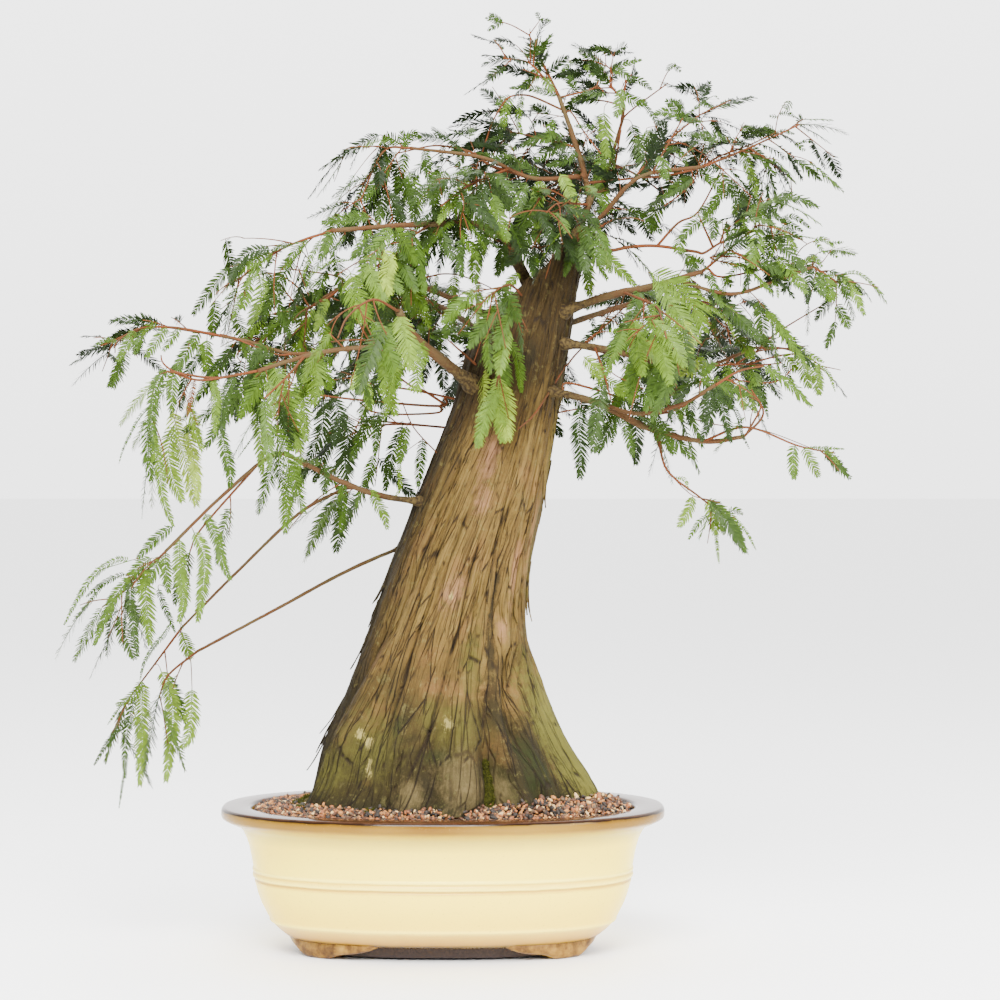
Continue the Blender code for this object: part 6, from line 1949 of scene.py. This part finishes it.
def flat_spray(size, breadth, rng):
    """(points, faces) of a spray: a four-sided shoot and flat needles in two ranks. Its length is 1
    along x, and its breadth is in metres for a spray of this size."""
    points, faces = [], []
    rings = ((0.0, 0.55), (0.35, 0.45), (0.7, 0.32), (1.0, 0.12))
    for place, thick in rings:
        for k in range(4):
            turn = math.pi * k / 2
            points.append((place, thick * math.cos(turn) * MM, thick * math.sin(turn) * MM))
    for ring in range(0, 12, 4):
        for k in range(4):
            a, b = ring + k, ring + (k + 1) % 4
            faces += [(a, b, b + 4), (a, b + 4, a + 4)]
    pairs = max(4, round(size / NEEDLES_APART))
    needle_length = breadth / 1.62
    needle_width = NEEDLE_WIDTH * min(1.0, 0.55 + breadth / 40)
    for pair in range(pairs):
        place = 0.04 + 0.95 * (pair + rng.uniform(-0.25, 0.25)) / (pairs - 1)
        fullness = math.sin(math.pi * (0.17 + 0.77 * place)) ** 0.7
        for side in (-1, 1):
            lean = NEEDLE_LEAN * (1.05 - 0.50 * place) + rng.uniform(-0.12, 0.12)
            long = needle_length * fullness * rng.uniform(0.82, 1.08)
            wide = needle_width * (0.7 + 0.3 * fullness)
            lift = rng.uniform(-0.22, 0.30)
            along_x, across_y = math.cos(lean), side * math.sin(lean)
            first = len(points)
            for share, half, bend in ((0.0, 0.30, 0.0), (0.4, 0.5, -0.02), (0.78, 0.34, -0.07), (1.0, 0.0, -0.14)):
                x = place * size + (along_x * share + 0.10 * share * share) * long
                y = across_y * share * long
                z = (lift * share + bend) * long
                for edge in ((-1, 1) if half else (0,)):
                    points.append((
                        (x - edge * half * wide * across_y) / size,
                        (y + edge * half * wide * along_x) * MM,
                        (z + edge * half * wide * 0.25) * MM,
                    ))
            faces += [
                (first, first + 1, first + 3), (first, first + 3, first + 2),
                (first + 2, first + 3, first + 5), (first + 2, first + 5, first + 4),
                (first + 4, first + 5, first + 6),
            ]
    return np.array(points), np.array(faces)


def laid_spray(kind_points, route, facing):
    """The pattern's points bent along a route."""
    steps = [0.0]
    for before, after in zip(route, route[1:]):
        steps.append(steps[-1] + (after - before).length)
    shares = np.array(steps) / steps[-1]
    centre = np.stack([np.interp(kind_points[:, 0], shares, [place[k] for place in route]) for k in range(3)], 1)
    over = np.clip(kind_points[:, 0] - 1, 0, None) + np.clip(kind_points[:, 0], None, 0)
    centre += over[:, None] * steps[-1] * np.array((route[-1] - route[-2]).normalized())
    up = Vector(facing)
    turned = []
    for before, after in zip(route, route[1:]):
        ahead = (after - before).normalized()
        up = (up - ahead * up.dot(ahead)).normalized()
        turned.append((up.cross(ahead), up.copy()))
    ends = np.linspace(0, 1, len(turned))
    across = np.stack([np.interp(kind_points[:, 0], ends, [pair[0][k] for pair in turned]) for k in range(3)], 1)
    above = np.stack([np.interp(kind_points[:, 0], ends, [pair[1][k] for pair in turned]) for k in range(3)], 1)
    return centre + kind_points[:, 1:2] * across + kind_points[:, 2:] * above


def make_needles(name, colour):
    made, sockets, wire = new_finish(name, Roughness=0.5)
    sockets["Specular IOR Level"].default_value = 0.12
    place = wire.object_place()
    shade = wire.between(wire.grain(place, 210.0, 2.0), 0.3, 0.7)
    lighter = tuple(min(1.0, channel * 1.25 + 0.002) for channel in colour)
    darker = tuple(channel * 0.72 for channel in colour)
    feed(sockets, Base_Color=wire.mixed(shade, darker, lighter), Normal=wire.bumped(shade, 0.0002, 0.3))
    return made


rng = random.Random(77)
toned = {name: [] for name, _ in SPRAY_TONES}
for spray in sprays:
    route = spray.route
    size = sum((after - before).length for before, after in zip(route, route[1:])) / MM
    breadth = spray.breadth or BREADTH_LEAST + BREADTH_SHARE * size
    flat_points, flat_faces = flat_spray(size, breadth, rng)
    points = laid_spray(flat_points, route, spray.facing)
    forward = -(route[0] - POT_CENTRE).y / MM
    # Painted light and shade: sprays further forward and hanging more get lighter tones, those high in the crown
    # darker ones
    light = 2.7 + 0.0065 * forward + 2.6 * (spray.hang - 0.55) + rng.uniform(-1.9, 1.7)
    light -= 0.004 * max(0.0, route[0].z / MM - 780)
    tone = spray.tone if spray.tone is not None else int(min(max(light, 0), LIGHTEST_BY_RULE))
    toned[SPRAY_TONES[tone][0]].append((points, flat_faces))
for name, colour in SPRAY_TONES:
    finish = make_needles(name, colour)
    heaps, triangles = [[]], 0
    for shape in toned[name]:
        if triangles + len(shape[1]) > PIECE_TRIANGLES:
            heaps.append([])
            triangles = 0
        heaps[-1].append(shape)
        triangles += len(shape[1])
    for number, heap in enumerate(heaps):
        if heap:
            points, faces = heaped(heap)
            needles = joined_mesh(f"{name}_{number + 1}", points, faces, finish)
            print(needles.name, len(heap), "sprays", len(faces), "triangles")
            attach(needles, "root")

# The studio: a plain pale floor, a white surround and large soft lights, most of them in front.
FLOOR_HALF = 30.0
floor_bm = bmesh.new()
bmesh.ops.create_grid(floor_bm, x_segments=1, y_segments=1, size=FLOOR_HALF)
floor_finish, floor_sockets, floor_wire = new_finish("pale_floor", Roughness=0.6)
floor_grain = floor_wire.grain(floor_wire.object_place(), 900.0, 2.0)
floor_tone = floor_wire.mixed(floor_grain, (0.94, 0.94, 0.94), (0.96, 0.96, 0.96))
feed(floor_sockets, Base_Color=floor_tone)
floor = piece_from("floor", floor_bm, floor_finish)

world = bpy.data.worlds.new("studio")
world.use_nodes = True
sky = Wire(world.node_tree)
facing = sky.node("TexCoord", out="Generated")
behind = sky.between(sky.node("SeparateXYZ", sockets={"Vector": facing}, out="Y"), -0.5, 0.4)
above = sky.between(sky.node("SeparateXYZ", sockets={"Vector": facing}, out="Z"), 0.1, 0.9)
level = sky.between(sky.node("SeparateXYZ", sockets={"Vector": facing}, out="Z"), 0.18, 0.0)
background = world.node_tree.nodes["Background"].inputs
background["Color"].default_value = (1.0, 1.0, 1.0, 1.0)
feed(background, Strength=behind * (3.3 - level * 0.55) + above * 0.6 + 0.7)
bpy.context.scene.world = world

for name, place, aim, size, power in (
    ("key_softbox", (-0.2, -2.4, 2.3), (0.0, 0.0, 0.35), 1.5, 375.0),
    ("fill_softbox", (1.9, -2.0, 1.3), (0.0, 0.0, 0.45), 1.6, 110.0),
    ("top_softbox", (0.3, 0.6, 2.9), (0.0, 0.0, 0.5), 1.8, 70.0),
):
    softbox = bpy.data.lights.new(name, "AREA")
    softbox.size = size
    softbox.energy = power
    lamp = bpy.data.objects.new(name, softbox)
    lamp.location = place
    lamp.visible_camera = False
    lamp.rotation_euler = (Vector(aim) - Vector(place)).to_track_quat("-Z", "Y").to_euler()
    bpy.context.scene.collection.objects.link(lamp)

lens = bpy.data.cameras.new("camera")
lens.lens = CAMERA_LENS
lens.sensor_width = SENSOR
lens.clip_end = 100.0
camera = bpy.data.objects.new("camera", lens)
camera.location = POT_CENTRE + eye
camera.rotation_euler = (math.radians(90) - CAMERA_PITCH, 0, 0)
bpy.context.scene.collection.objects.link(camera)
bpy.context.scene.camera = camera
